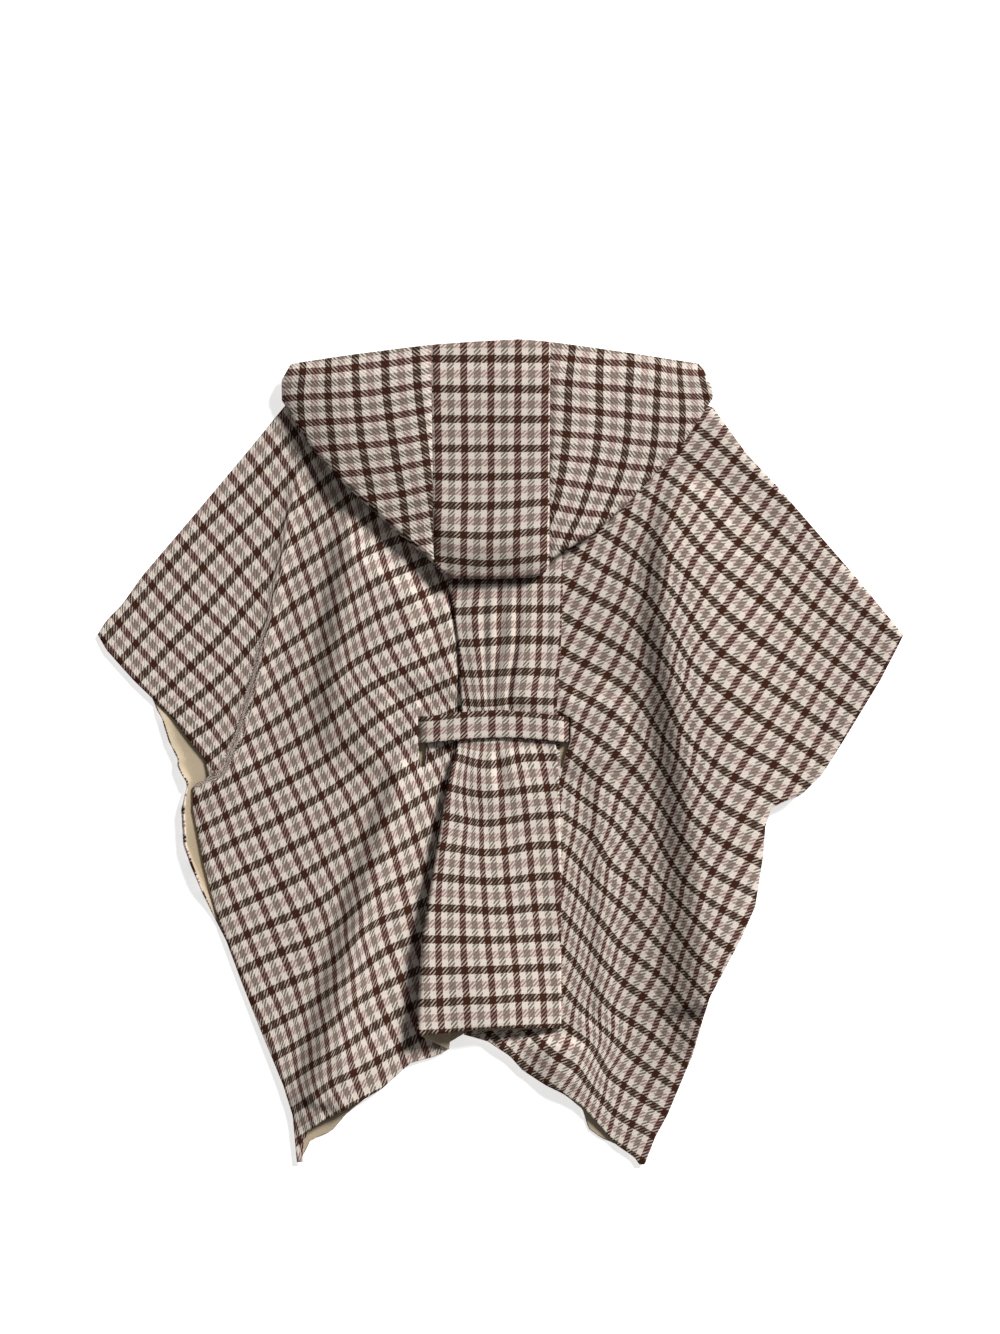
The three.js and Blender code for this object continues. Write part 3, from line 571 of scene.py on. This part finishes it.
# Mesh of a closed shell about grids of points: face, reverse and a rounded rim. The materials are
# those of the face, the reverse and the rim's upper part, and the quad with the number face_quad
# is one whose face lies upwards.
def shell(name, grids, uvs, thickness, materials, keeps=None, face_quad=0):
    parts = []
    start = 0
    for index, grid in enumerate(grids):
        rows, columns = grid.shape[:2]
        normal = unit(np.cross(np.gradient(grid, axis=0), np.gradient(grid, axis=1)))
        ids = start + np.arange(rows * columns).reshape(rows, columns)
        cells = np.stack([ids[:-1, :-1], ids[1:, :-1], ids[1:, 1:], ids[:-1, 1:]], axis=-1)
        keep = np.ones(cells.shape[:2], bool) if keeps is None else keeps[index]
        flat = grid.reshape(-1, 3), normal.reshape(-1, 3), uvs[index].reshape(-1, 2), cells[keep]
        parts.append(flat)
        start += rows * columns
    points, normals, coords, quads = (np.vstack(part) for part in zip(*parts))

    keys = np.round(points / TOGETHER).astype(np.int64)
    _, first, inverse = np.unique(keys, axis=0, return_index=True, return_inverse=True)
    quads = first[inverse.ravel()[quads]]
    used, quads = np.unique(quads, return_inverse=True)
    quads = quads.reshape(-1, 4)
    points, normals, coords = points[used], normals[used], coords[used]

    # Normals on the side of the face, and quads anticlockwise about them
    if normals[quads[face_quad % len(quads)], 2].mean() < 0:
        normals = -normals
    corner = points[quads]
    facing = np.cross(corner[:, 2] - corner[:, 0], corner[:, 3] - corner[:, 1])
    if (facing * normals[quads[:, 0]]).sum() < 0:
        quads = quads[:, ::-1]

    number = len(points)
    edges = np.vstack([quads[:, [k, (k + 1) % 4]] for k in range(4)])
    codes = edges[:, 0] * number + edges[:, 1]
    backwards = edges[:, 1] * number + edges[:, 0]
    border = edges[~np.isin(backwards, codes)]
    outward = np.zeros((number, 3))
    run = points[border[:, 1]] - points[border[:, 0]]
    aside = unit(np.cross(run, normals[border[:, 0]]))
    np.add.at(outward, border[:, 0], aside)
    np.add.at(outward, border[:, 1], aside)
    outward = unit(outward)

    half = thickness / 2
    layers = [points + normals * half]
    for step in range(1, RIM_STEPS):
        angle = math.pi * step / RIM_STEPS
        reach = outward * half * RIM_REACH * math.sin(angle)
        layers.append(points + reach + normals * half * math.cos(angle))
    layers.append(points - normals * half)

    # The outermost layers have all points, the ones between only those of the border
    everywhere = np.arange(number)
    shown = [everywhere] + [np.unique(border)] * (RIM_STEPS - 1) + [everywhere]
    place = []
    vertices = []
    count = 0
    for layer, ids in zip(layers, shown):
        place.append(np.full(number, -1))
        place[-1][ids] = count + np.arange(len(ids))
        vertices.append(layer[ids])
        count += len(ids)
    vertices = np.vstack(vertices) * MM
    coords = coords[np.concatenate(shown)]

    faces = [quads, place[-1][quads[:, ::-1]]]
    kinds = [np.zeros(len(quads), int), np.ones(len(quads), int)]
    a, b = border.T
    for step, (upper, lower) in enumerate(zip(place, place[1:])):
        faces.append(np.stack([upper[b], upper[a], lower[a], lower[b]], axis=1))
        kinds.append(np.full(len(border), 2 if step == 0 else 1))
    faces = np.vstack(faces)
    kinds = np.concatenate(kinds)

    mesh = bpy.data.meshes.new(name)
    mesh.from_pydata(vertices.tolist(), [], faces.tolist())
    uv_layer = mesh.uv_layers.new(name="cloth")
    loops = np.zeros(len(mesh.loops), dtype=np.int64)
    mesh.loops.foreach_get("vertex_index", loops)
    uv_layer.data.foreach_set("uv", coords[loops].astype(np.float32).ravel())
    for material in materials:
        mesh.materials.append(material)
    mesh.polygons.foreach_set("material_index", kinds.astype(np.int32))
    mesh.polygons.foreach_set("use_smooth", np.ones(len(faces), bool))
    mesh.update()
    return add_object(name, mesh)


WOOL_ROUGHNESS = 0.95


# A material with its surface shader, and short ways to add nodes to it
class Shader:
    def __init__(self, name):
        self.material = bpy.data.materials.new(name)
        self.material.use_nodes = True
        self.tree = self.material.node_tree
        self.tree.nodes.clear()
        self.surface = self.node("ShaderNodeBsdfPrincipled")
        self.node("ShaderNodeOutputMaterial", {"Surface": self.surface.outputs[0]})

    def node(self, kind, values=None, **settings):
        made = self.tree.nodes.new(kind)
        for key, value in settings.items():
            setattr(made, key, value)
        self.fill(made, values or {})
        return made

    # The values are by an input's name or number, and an output of another node is linked to it
    def fill(self, node, values):
        for key, value in values.items():
            if isinstance(value, bpy.types.NodeSocket):
                self.tree.links.new(value, node.inputs[key])
            else:
                node.inputs[key].default_value = value

    def math(self, operation, *values):
        values = dict(enumerate(values))
        return self.node("ShaderNodeMath", values, operation=operation).outputs[0]

    def noise(self, vector, scale, detail=2.0, roughness=0.5):
        values = {"Vector": vector, "Scale": scale, "Detail": detail, "Roughness": roughness}
        return self.node("ShaderNodeTexNoise", values).outputs["Fac"]

    # For colours the mix node uses its inputs 6 and 7 and its output 2
    def mix(self, factor, first, second, blend="MIX"):
        values = {"Factor": factor, 6: first, 7: second}
        return self.node("ShaderNodeMix", values, data_type="RGBA", blend_type=blend).outputs[2]

    def ramp(self, factor, stops):
        made = self.node("ShaderNodeValToRGB", {0: factor})
        elements = made.color_ramp.elements
        while len(elements) > 1:
            elements.remove(elements[-1])
        elements[0].position, elements[0].color = stops[0]
        for position, color in stops[1:]:
            elements.new(position).color = color
        return made.outputs[0]

    def span(self, value, before, after=(0.0, 1.0), **settings):
        names = ("Value", "From Min", "From Max", "To Min", "To Max")
        values = dict(zip(names, (value, *before, *after)))
        return self.node("ShaderNodeMapRange", values, **settings).outputs[0]

    def bump(self, height, strength, distance, normal=None):
        values = {"Height": height, "Strength": strength, "Distance": distance}
        if normal is not None:
            values["Normal"] = normal
        return self.node("ShaderNodeBump", values).outputs[0]

    def wool(self, color, normal):
        self.fill(self.surface, {
            "Base Color": color,
            "Normal": normal,
            "Roughness": WOOL_ROUGHNESS,
            "Specular IOR Level": 0.0,
        })
        return self.material


# Linear colour of an sRGB code
def srgb(code):
    values = [int(code[k:k + 2], 16) / 255 for k in (1, 3, 5)]
    linear = [v / 12.92 if v <= 0.04045 else ((v + 0.055) / 1.055) ** 2.4 for v in values]
    return (*linear, 1.0)


# Check: half widths of the stripes in parts of a repeat
DARK_HALF = 0.135
MID_HALF = 0.13
STRIPE_SOFT = 0.012
WARP_PITCH = 32.0
WEFT_PITCH = 35.5
# Twill: way between ribs along warp and weft
TWILL = 5.2
DARK_SHARE = 0.6  # part of a rib that the darker of two yarns shows on
RIB_SOFT = 0.16
DARK_PULL = 0.42  # how far a dark yarn also darkens the lighter part of a rib
PULL_FADE = (0.04, 0.12)  # brightness of the darker yarn between which that fades
# Wool: noises in waves to the metre, bumps as strength and height
WANDER_SCALE = 260.0
WANDER = 0.03  # in parts of a repeat
FUZZ_SCALE = 900.0
FUZZ_DETAIL = (3.0, 0.6)
RAGGED = 0.5  # how far the fuzz shifts a rib
SPECKLE_FROM = (0.25, 0.75)
SPECKLE_TO = (0.88, 1.07)
RIB_BUMP = (0.5, 0.0007)
FUZZ_BUMP = (0.45, 0.0008)
# Painted shade: how much darker the check is painted on the upper part of the rounded rims
EDGE_PAINTED_SHADE = 0.8
BEIGE_FUZZ_SCALE = 800.0
BEIGE_FUZZ_DETAIL = (4.0, 0.65)
BEIGE_FUZZ_SHARE = 0.7
BEIGE_CLOUD_SCALE = 30.0
BEIGE_DARK = 0.78
BEIGE_SPAN = (0.3, 0.6)
BEIGE_BUMP = (0.5, 0.001)


# Colours of one set of yarns over two repeats
def stripes(dark, cream, mids):
    stops = [(0.0, dark)]
    for repeat, mid in enumerate(mids):
        edges = [
            (DARK_HALF, dark, cream),
            (0.5 - MID_HALF, cream, mid),
            (0.5 + MID_HALF, mid, cream),
            (1.0 - DARK_HALF, cream, dark),
        ]
        for position, before, after in edges:
            stops.append(((repeat + position - STRIPE_SOFT) / 2, before))
            stops.append(((repeat + position + STRIPE_SOFT) / 2, after))
    return stops


# Below 1 the tone factor darkens the whole check evenly, as painted shade
def check_material(name, warp_colors, weft_colors, painted_shade=1.0):
    shader = Shader(name)
    uv = shader.node("ShaderNodeUVMap", uv_map="cloth")
    counts = shader.node("ShaderNodeSeparateXYZ", {0: uv.outputs[0]})
    place = shader.node("ShaderNodeTexCoord").outputs["Object"]
    stray = shader.math("SUBTRACT", shader.noise(place, WANDER_SCALE, 1.0), 0.5)
    stray = shader.math("MULTIPLY", stray, WANDER)
    colors = []
    for count, stripe_colors in zip(counts.outputs, (warp_colors, weft_colors)):
        halved = shader.math("MULTIPLY", shader.math("ADD", count, stray), 0.5)
        colors.append(shader.ramp(shader.math("FRACT", halved), stripe_colors))
    run = shader.math(
        "ADD",
        shader.math("MULTIPLY", counts.outputs[0], WARP_PITCH / TWILL),
        shader.math("MULTIPLY", counts.outputs[1], WEFT_PITCH / TWILL),
    )
    fuzz = shader.noise(place, FUZZ_SCALE, *FUZZ_DETAIL)
    shift = shader.math("MULTIPLY", shader.math("SUBTRACT", fuzz, 0.5), RAGGED)
    rib = shader.math("PINGPONG", shader.math("ADD", run, shift), 0.5)
    over = shader.math("MULTIPLY", rib, 2.0)
    ribs = []
    for middle in (DARK_SHARE, 1 - DARK_SHARE):
        edges = (middle - RIB_SOFT, middle + RIB_SOFT)
        lean = shader.span(over, edges, interpolation_type="SMOOTHSTEP")
        ribs.append(shader.mix(lean, *colors))
    hatch = shader.mix(1.0, *ribs, "DARKEN")
    darker = shader.mix(1.0, *colors, "DARKEN")
    gray = shader.node("ShaderNodeRGBToBW", {0: darker})
    pull = shader.span(gray.outputs[0], PULL_FADE, (DARK_PULL, 0.0))
    cloth = shader.mix(pull, hatch, darker)
    speckle = shader.span(fuzz, SPECKLE_FROM, tuple(painted_shade * tone for tone in SPECKLE_TO))
    color = shader.mix(1.0, cloth, speckle, "MULTIPLY")
    relief = shader.bump(over, *RIB_BUMP)
    return shader.wool(color, shader.bump(fuzz, *FUZZ_BUMP, relief))


def beige_material(name, code):
    shader = Shader(name)
    place = shader.node("ShaderNodeTexCoord").outputs["Object"]
    fuzz = shader.noise(place, BEIGE_FUZZ_SCALE, *BEIGE_FUZZ_DETAIL)
    cloud = shader.noise(place, BEIGE_CLOUD_SCALE)
    base = srgb(code)
    dark = tuple(BEIGE_DARK * value for value in base[:3]) + (1.0,)
    tone = shader.math(
        "ADD",
        shader.math("MULTIPLY", fuzz, BEIGE_FUZZ_SHARE),
        shader.math("MULTIPLY", cloud, 1 - BEIGE_FUZZ_SHARE),
    )
    color = shader.ramp(tone, list(zip(BEIGE_SPAN, (dark, base))))
    return shader.wool(color, shader.bump(fuzz, *BEIGE_BUMP))


CREAM = srgb("#d6cabe")
WARP_COLORS = stripes(srgb("#47281f"), CREAM, [srgb("#706a5e"), srgb("#746d62")])
WEFT_COLORS = stripes(srgb("#3a2217"), CREAM, [srgb("#9c827c"), srgb("#967d77")])
checked_wool = check_material("checked_wool", WARP_COLORS, WEFT_COLORS)
# The same check painted darker, as painted shade on the upper part of the pieces' rounded rims
checked_edge_painted_shade = check_material("checked_edge_painted_shade", WARP_COLORS, WEFT_COLORS, EDGE_PAINTED_SHADE)
beige_wool = beige_material("beige_wool", "#b3a38a")
CHECK_UP = [checked_wool, beige_wool, checked_edge_painted_shade]

# Columns of a side back's grid from line to line: outer edge, roll, the slit's two sides, a line
# beside the pleat, inner edge
SLIT_COLUMNS = 4
SIDE_COLUMNS = [2, 108, SLIT_COLUMNS, 4, 12]
LEFT_PLEAT_LINE = 3.0  # how far out from the pleat's edge the left back has that line
RIGHT_PLEAT_LINE = 0.2  # where the right back has it between the slit and its inner edge


# A side back as a grid of points, with the quads of its slit left out. The stops are the rows at
# which its outline turns, and between the last but one and the neck the lines keep their places.
def side_back(name, edge, inner, slit_lines, slit, stops, pattern_at):
    sign = 1 if edge[0][1] > 0 else -1
    rows = []
    ys = stations(stops, GRID)
    for y in ys:
        outer = along(edge, y)
        inner_x = along(inner, y)
        if y > BACK_NECK_Y:
            inner_x = sign * max(sign * inner_x, neck_half_width(y, BACK_NECK_Y))
        roll = outer - sign * min(SHOULDER_ROLL, ROLL_MOST * abs(outer - inner_x))
        line_y = np.clip(y, stops[-2], BACK_NECK_Y)
        base_outer = along(edge, line_y)
        base_inner = along(inner, line_y)
        lines = [along(slit_lines, line_y, 1), along(slit_lines, line_y, 2)]
        if sign < 0:
            lines.append(along(PLEAT_EDGES, line_y, 1) - LEFT_PLEAT_LINE)
        else:
            lines.append(mix(lines[1], base_inner, RIGHT_PLEAT_LINE))
        if y != line_y:
            parts = [(line - base_outer) / (base_inner - base_outer) for line in lines]
            lines = [mix(roll, inner_x, part) for part in parts]
        rows.append(through([outer, roll, *lines, inner_x], SIDE_COLUMNS))
    x = np.array(rows)
    y = np.repeat(ys[:, None], x.shape[1], axis=1)
    level = SIDE_LEVEL + side_rise(x, y)
    drop = (LEFT_DROP if sign < 0 else RIGHT_DROP) * ease(*SHOULDER_Y, y[:, 0])
    low = SEAM_GAP + CLOTH / 2
    level[:, 0] = mix(level[:, 0], low, drop)
    level[:, 1] = mix(level[:, 1], mix(low, level[:, 2], ROLL_MIDDLE), drop)
    grid = np.stack([x, y, level], axis=-1)
    keep = np.ones((len(ys) - 1, x.shape[1] - 1), bool)
    middle_y = (ys[1:] + ys[:-1]) / 2
    in_slit = (middle_y > slit[0]) & (middle_y < slit[1])
    first = SIDE_COLUMNS[0] + SIDE_COLUMNS[1]
    keep[np.ix_(in_slit, np.arange(first, first + SLIT_COLUMNS))] = False
    return shell(name, [grid], [pattern_at(x, y)], CLOTH, CHECK_UP, [keep])


sleeve_at = pattern(LEFT_SLEEVE_CHECKS)
body_at = pattern(LEFT_BODY_CHECKS)
right_at = pattern(RIGHT_CHECKS)
# The left back's check has two maps, the sleeve's and the body's, that meet along a crease: y, x
ZONE_LINE = [
    (420, -246), (354, -251), (299, -267), (249, -274), (215, -283), (171, -289), (140, -298),
    (91, -309), (24, -328), (-22, -345), (-37, -368), (-44, -400),
]
ZONE_SOFT = 3.0


def left_at(x, y):
    part = ease(-ZONE_SOFT, ZONE_SOFT, x - along(ZONE_LINE, y))[..., None]
    return mix(sleeve_at(x, y), body_at(x, y), part)


back_left = side_back(
    "poncho_back_left", LEFT_EDGE, LEFT_INNER, LEFT_SLIT_LINES, LEFT_SLIT,
    LEFT_STOPS, left_at,
)
back_right = side_back(
    "poncho_back_right", RIGHT_EDGE, RIGHT_INNER, RIGHT_SLIT_LINES, RIGHT_SLIT,
    RIGHT_STOPS, right_at,
)


# Half a circle from the under layer up to the upper one, without its ends, to the left or below
# for a turn of -1 and to the right for 1
def turn_points(radius, steps, turn):
    angles = [math.pi * (k / steps - 0.5) for k in range(1, steps)]
    return [(turn * radius * math.cos(a), radius * math.sin(a)) for a in angles]


# Creases of the centre panel, in pixels: depth, reach, crest line
CENTER_CREASES = [
    (-5.0, 7, [(502, 560), (500, 641), (496, 673), (494, 716), (495, 742), (500, 775), (505, 815)]),
    (-4.4, 6, [(519, 560), (517, 640), (511, 672), (506, 716), (513, 745), (521, 775)]),
    (-4.4, 6, [(483, 560), (484, 640), (486, 690), (488, 716), (484, 745), (478, 785)]),
]
# Swells of the centre panel above and below the belt: height, x of the middle, reach to each side,
# y where it starts, is full, stops being full and ends
CENTER_SWELLS = [
    (4.5, 5, 45, 55, 64, 150, 235),
    (4.0, 5, 40, -95, -40, -2, 7),
    (5, 12, 62, -420, -343, -342, -180),
]
SWELL_POWER = 4  # how squarely a swell ends to each side
CREASE_SWELL = 4.5  # swell at which the creases have their full depth
CREASE_FADE = (20, 60)
PANEL_FALL = 0.92  # share of the panel's width over which its lifted left edge falls
PANEL_EDGE_POWER = 0.35  # the lower, the sooner the relief starts inside the panel's edges
PANEL_ROWS = 145
PANEL_POINTS = 45
TAB_POINTS = (5, 8)
TAB_POWER = 1.5
TAB_HEM_STEP = 2.0
PLEAT_TURN_STEPS = 8


# Height of the swells and creases of the centre panel
def center_relief(x, y):
    relief = np.zeros(x.shape)
    for depth, reach, crest in CENTER_CREASES:
        distance, _, run_at, run = crest_distance(from_px(crest), x, y)
        fade = ease(0, CREASE_FADE[0], run_at) * ease(0, CREASE_FADE[1], run - run_at)
        relief += depth * fade * np.exp(-((distance / reach) ** 2))
    swell = np.zeros(x.shape)
    for height, middle, reach, south, full_south, full_north, north in CENTER_SWELLS:
        across = np.exp(-(((x - middle) / reach) ** SWELL_POWER))
        swell += height * across * band(south, full_south, full_north, north, y)
    return swell + relief * np.minimum(1, swell / CREASE_SWELL)


# The centre back: left tab, turn, panel, turn and right tab, from the neck to the hem
def back_center():
    right_turn = (PLEAT_LEVEL - TAB_LEVEL) / 2
    left_hem, middle_hem, right_hem = (PLEAT_HEM[key] for key in ("left", "middle", "right"))
    grid = []
    for v in stations([1, 0], 1 / PANEL_ROWS):
        middle_y = mix(middle_hem, BACK_NECK_Y, v)
        left, right, left_turn, lift = (along(PLEAT_EDGES, middle_y, k) for k in (1, 2, 3, 4))
        under_left = along(LEFT_INNER, middle_y)
        under_right = along(RIGHT_INNER, middle_y)
        left_top = TAB_LEVEL + lift + 2 * left_turn
        left_x = left + left_turn + CLOTH / 2
        right_x = right - right_turn - CLOTH / 2
        section = []

        def add(x, z, hem):
            section.append((x, mix(hem, back_neck_y(x), v), z))

        for t in np.linspace(0, 1, TAB_POINTS[0]):
            hem = mix(PLEAT_HEM["left_tab"], left_hem - TAB_HEM_STEP, t)
            add(mix(under_left, left_x, t), TAB_LEVEL + lift * t**TAB_POWER, hem)
        for out, up in turn_points(left_turn, PLEAT_TURN_STEPS, -1):
            add(left_x + out, TAB_LEVEL + lift + left_turn + up, left_hem)
        for t in np.linspace(0, 1, PANEL_POINTS):
            hem = np.interp(t, [0, 0.5, 1], [left_hem, middle_hem, right_hem])
            add(mix(left_x, right_x, t), mix(left_top, PLEAT_LEVEL, min(1, t / PANEL_FALL)), hem)
        for out, up in reversed(turn_points(right_turn, PLEAT_TURN_STEPS, 1)):
            add(right_x + out, TAB_LEVEL + right_turn + up, right_hem)
        for t in np.linspace(0, 1, TAB_POINTS[1]):
            hem = mix(right_hem, PLEAT_HEM["right_tab"], t)
            add(mix(right_x, under_right, t), TAB_LEVEL, hem)
        grid.append(section)
    grid = np.array(grid)
    first = TAB_POINTS[0] + PLEAT_TURN_STEPS - 1
    panel = slice(first, first + PANEL_POINTS)
    inside = np.sin(np.linspace(0, math.pi, PANEL_POINTS)) ** PANEL_EDGE_POWER
    grid[:, panel, 2] += inside * center_relief(grid[:, panel, 0], grid[:, panel, 1])
    uv = pattern(CENTER_CHECKS)(grid[..., 0], grid[..., 1])
    return shell("poncho_back_center", [grid], [uv], CLOTH, CHECK_UP, face_quad=25)


# A panel of the hood between two seams: under layer from the neck, turn, crown to the opening edge
def hood_panel(name, start_x, end_x, divisions, fold, checks):
    columns = []
    for part in np.linspace(0, 1, divisions + 1):
        x = mix(start_x(HOOD_MIDDLE_Y), end_x(HOOD_MIDDLE_Y), part)
        under, turn, crown, soon = (along(HOOD_BODY, x, k) for k in (1, 2, 3, 4))
        top_y = along(HOOD_TOP, x)
        turn_y = along(fold, x) + turn + CLOTH / 2
        to_tip = ease(NECK_HALF_WIDTH, HOOD_TIP_X, abs(x))
        seam_y = mix(back_neck_y(x), top_y - HOOD_TIP_GAP, to_tip)
        column = []

        def add(y, z):
            column.append((mix(start_x(y), end_x(y), part), y, z))

        for t in np.linspace(0, 1, UNDER_POINTS):
            add(mix(seam_y, turn_y, t), under)
        for out, up in turn_points(turn, HOOD_TURN_STEPS, -1):
            add(turn_y + out, under + turn + up)
        for t in np.linspace(0, 1, CROWN_POINTS):
            swell = mix(under + 2 * turn, crown, math.sin(math.pi * min(1, soon * t) / 2))
            add(mix(turn_y, top_y, t), swell - HOOD_RIM * ease(HOOD_RIM_START, 1, t))
        columns.append(column)
    grid = np.array(columns)
    for seam in (HOOD_LEFT_SEAM, HOOD_RIGHT_SEAM):
        away = np.abs(grid[..., 0] - along(seam, grid[..., 1]))
        dip = SEAM_DIP * np.exp(-((away / SEAM_REACH) ** 2))
        grid[:, CROWN_START:, 2] -= dip[:, CROWN_START:]
    uv = pattern(checks)(grid[..., 0], grid[..., 1])
    return shell(name, [grid], [uv], CLOTH, CHECK_UP, face_quad=-1)


def seam_line(table, shift):
    return lambda y: along(table, y) + shift


back_center_piece = back_center()
hood_left = hood_panel(
    "poncho_hood_left", lambda y: HOOD_ENDS[0], seam_line(HOOD_LEFT_SEAM, -SEAM_HALF_GAP),
    HOOD_SIDE_COLUMNS, HOOD_SIDE_FOLD, HOOD_LEFT_CHECKS,
)
hood_center = hood_panel(
    "poncho_hood_center", seam_line(HOOD_LEFT_SEAM, SEAM_HALF_GAP),
    seam_line(HOOD_RIGHT_SEAM, -SEAM_HALF_GAP), HOOD_CENTER_COLUMNS, HOOD_CENTER_FOLD,
    HOOD_CENTER_CHECKS,
)
hood_right = hood_panel(
    "poncho_hood_right", seam_line(HOOD_RIGHT_SEAM, SEAM_HALF_GAP), lambda y: HOOD_ENDS[1],
    HOOD_SIDE_COLUMNS, HOOD_SIDE_FOLD, HOOD_RIGHT_CHECKS,
)


def half_belt():
    rows = []
    for x in stations([row[0] for row in BELT_ROUTE], GRID):
        low = along(BELT_EDGES, x, 1)
        high = along(BELT_EDGES, x, 2)
        z = along(BELT_ROUTE, x)
        rows.append([(x, mix(low, high, t), z) for t in np.linspace(0, 1, BELT_POINTS)])
    grid = np.array(rows)
    uv = pattern(BELT_CHECKS)(grid[..., 0], grid[..., 1])
    materials = [checked_wool, checked_wool, checked_edge_painted_shade]
    return shell("poncho_half_belt", [grid], [uv], BELT_CLOTH, materials)


# The front, its reverse up: two halves that meet in the middle between the neck and the hem
def front():
    ys = stations(FRONT_STOPS, GRID)
    sides = [
        (-1, LEFT_EDGE, FRONT_LEFT_HEM, FRONT_LEFT_REACH),
        (1, RIGHT_EDGE, FRONT_RIGHT_HEM, None),
    ]
    halves = []
    for sign, edge, hem, reach in sides:
        rows = []
        for y in ys:
            tuck = SHOULDER_TUCK * ease(*SHOULDER_TUCK_Y, y) + NECK_TUCK * ease(*NECK_TUCK_Y, y)
            out = along(reach, y) if reach else -FRONT_INSET
            outer = along(edge, y) + sign * (out - tuck)
            inner_x = sign * neck_half_width(y, FRONT_NECK_Y)
            if y < hem[0][0]:
                inner_x = along(hem, y)
            curl = along(FRONT_CURL, y) if reach else 0.0
            bend = curl / CURL_RADIUS + LEAST_BEND
            most = CURL_MOST * abs(outer - inner_x)
            run = np.linspace(min(CURL_LENGTH, most, max(out, CURL_LEAST)), 0, CURL_POINTS)
            aside = np.sin(bend * run) / bend
            up = (1 - np.cos(bend * run)) / bend
            base = outer - sign * aside.max()
            inward = mix(base, inner_x, np.linspace(0, 1, FRONT_POINTS)[1:])
            x = np.concatenate([base + sign * aside, inward])
            z = FRONT_LEVEL + np.concatenate([up, np.zeros(len(inward))])
            rows.append(np.stack([x, np.full(len(x), y), z], axis=-1))
        halves.append(np.array(rows))
    grids = [halves[0], halves[1][:, ::-1]]
    pitch = (WARP_PITCH, -WEFT_PITCH)
    uvs = [grid[..., :2] / pitch for grid in grids]
    materials = [beige_wool, checked_wool, checked_edge_painted_shade]
    return shell("poncho_front", grids, uvs, CLOTH, materials, face_quad=40)


half_belt_piece = half_belt()
front_piece = front()

# Floor, in metres
FLOOR_HALF = 6.0
FLOOR_DROP = 0.0002
FLOOR_TONE = 0.9
FLOOR_GLOW = 0.62
FLOOR_ROUGHNESS = 0.9
floor_mesh = bpy.data.meshes.new("floor")
corners = [(x * FLOOR_HALF, y * FLOOR_HALF, 0) for x, y in ((-1, -1), (1, -1), (1, 1), (-1, 1))]
floor_mesh.from_pydata(corners, [], [(0, 1, 2, 3)])
floor = add_object("floor", floor_mesh)
floor.location.z = -FLOOR_DROP
floor_shader = Shader("floor")
floor_shader.fill(floor_shader.surface, {
    "Base Color": (FLOOR_TONE, FLOOR_TONE, FLOOR_TONE, 1),
    "Roughness": FLOOR_ROUGHNESS,
    "Specular IOR Level": 0.0,
    "Emission Color": (1, 1, 1, 1),
    "Emission Strength": FLOOR_GLOW,
})
floor_mesh.materials.append(floor_shader.material)

# Light: an even room and one soft light from the upper right
ROOM_LIGHT = 0.175
KEY_LIGHT = 5.8
KEY_SPREAD = 14.0
KEY_AZIMUTH = 46.0
KEY_ELEVATION = 29.0
world = bpy.data.worlds.new("room")
world.use_nodes = True
background = world.node_tree.nodes["Background"]
background.inputs["Color"].default_value = (1, 1, 1, 1)
background.inputs["Strength"].default_value = ROOM_LIGHT
bpy.context.scene.world = world
key_data = bpy.data.lights.new("key", "SUN")
key_data.energy = KEY_LIGHT
key_data.angle = math.radians(KEY_SPREAD)
key = add_object("key", key_data)
azimuth = math.radians(KEY_AZIMUTH)
elevation = math.radians(KEY_ELEVATION)
toward = Vector((
    math.cos(elevation) * math.cos(azimuth),
    math.cos(elevation) * math.sin(azimuth),
    math.sin(elevation),
))
key.rotation_euler = toward.to_track_quat("Z", "Y").to_euler()
bpy.context.scene.view_settings.view_transform = "Standard"

# Pieces: node, slot, flat width and length as built, area, what the piece lies on
PIECES = [
    (front_piece, "front", "beige_wool", 1.0, 0.985, 0.62, [floor]),
    (back_left, "back_left", "checked_wool", 0.49, 0.79, 0.30, [front_piece]),
    (back_right, "back_right", "checked_wool", 0.52, 0.82, 0.325, [front_piece]),
    (back_center_piece, "back_center", "checked_wool", 0.3, 0.82, 0.195, [back_left, back_right]),
    (hood_left, "hood_left", "checked_wool", 0.19, 0.51, 0.062, [back_left]),
    (hood_center, "hood_center", "checked_wool", 0.147, 0.535, 0.077, [back_center_piece]),
    (hood_right, "hood_right", "checked_wool", 0.204, 0.51, 0.067, [back_right]),
    (
        half_belt_piece, "half_belt", "checked_wool", 0.285, 0.032, None,
        [back_left, back_center_piece, back_right],
    ),
]
for piece, node, slot, width, length, area, under in PIECES:
    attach(piece, "root")
    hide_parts(node)

bpy.context.view_layer.update()
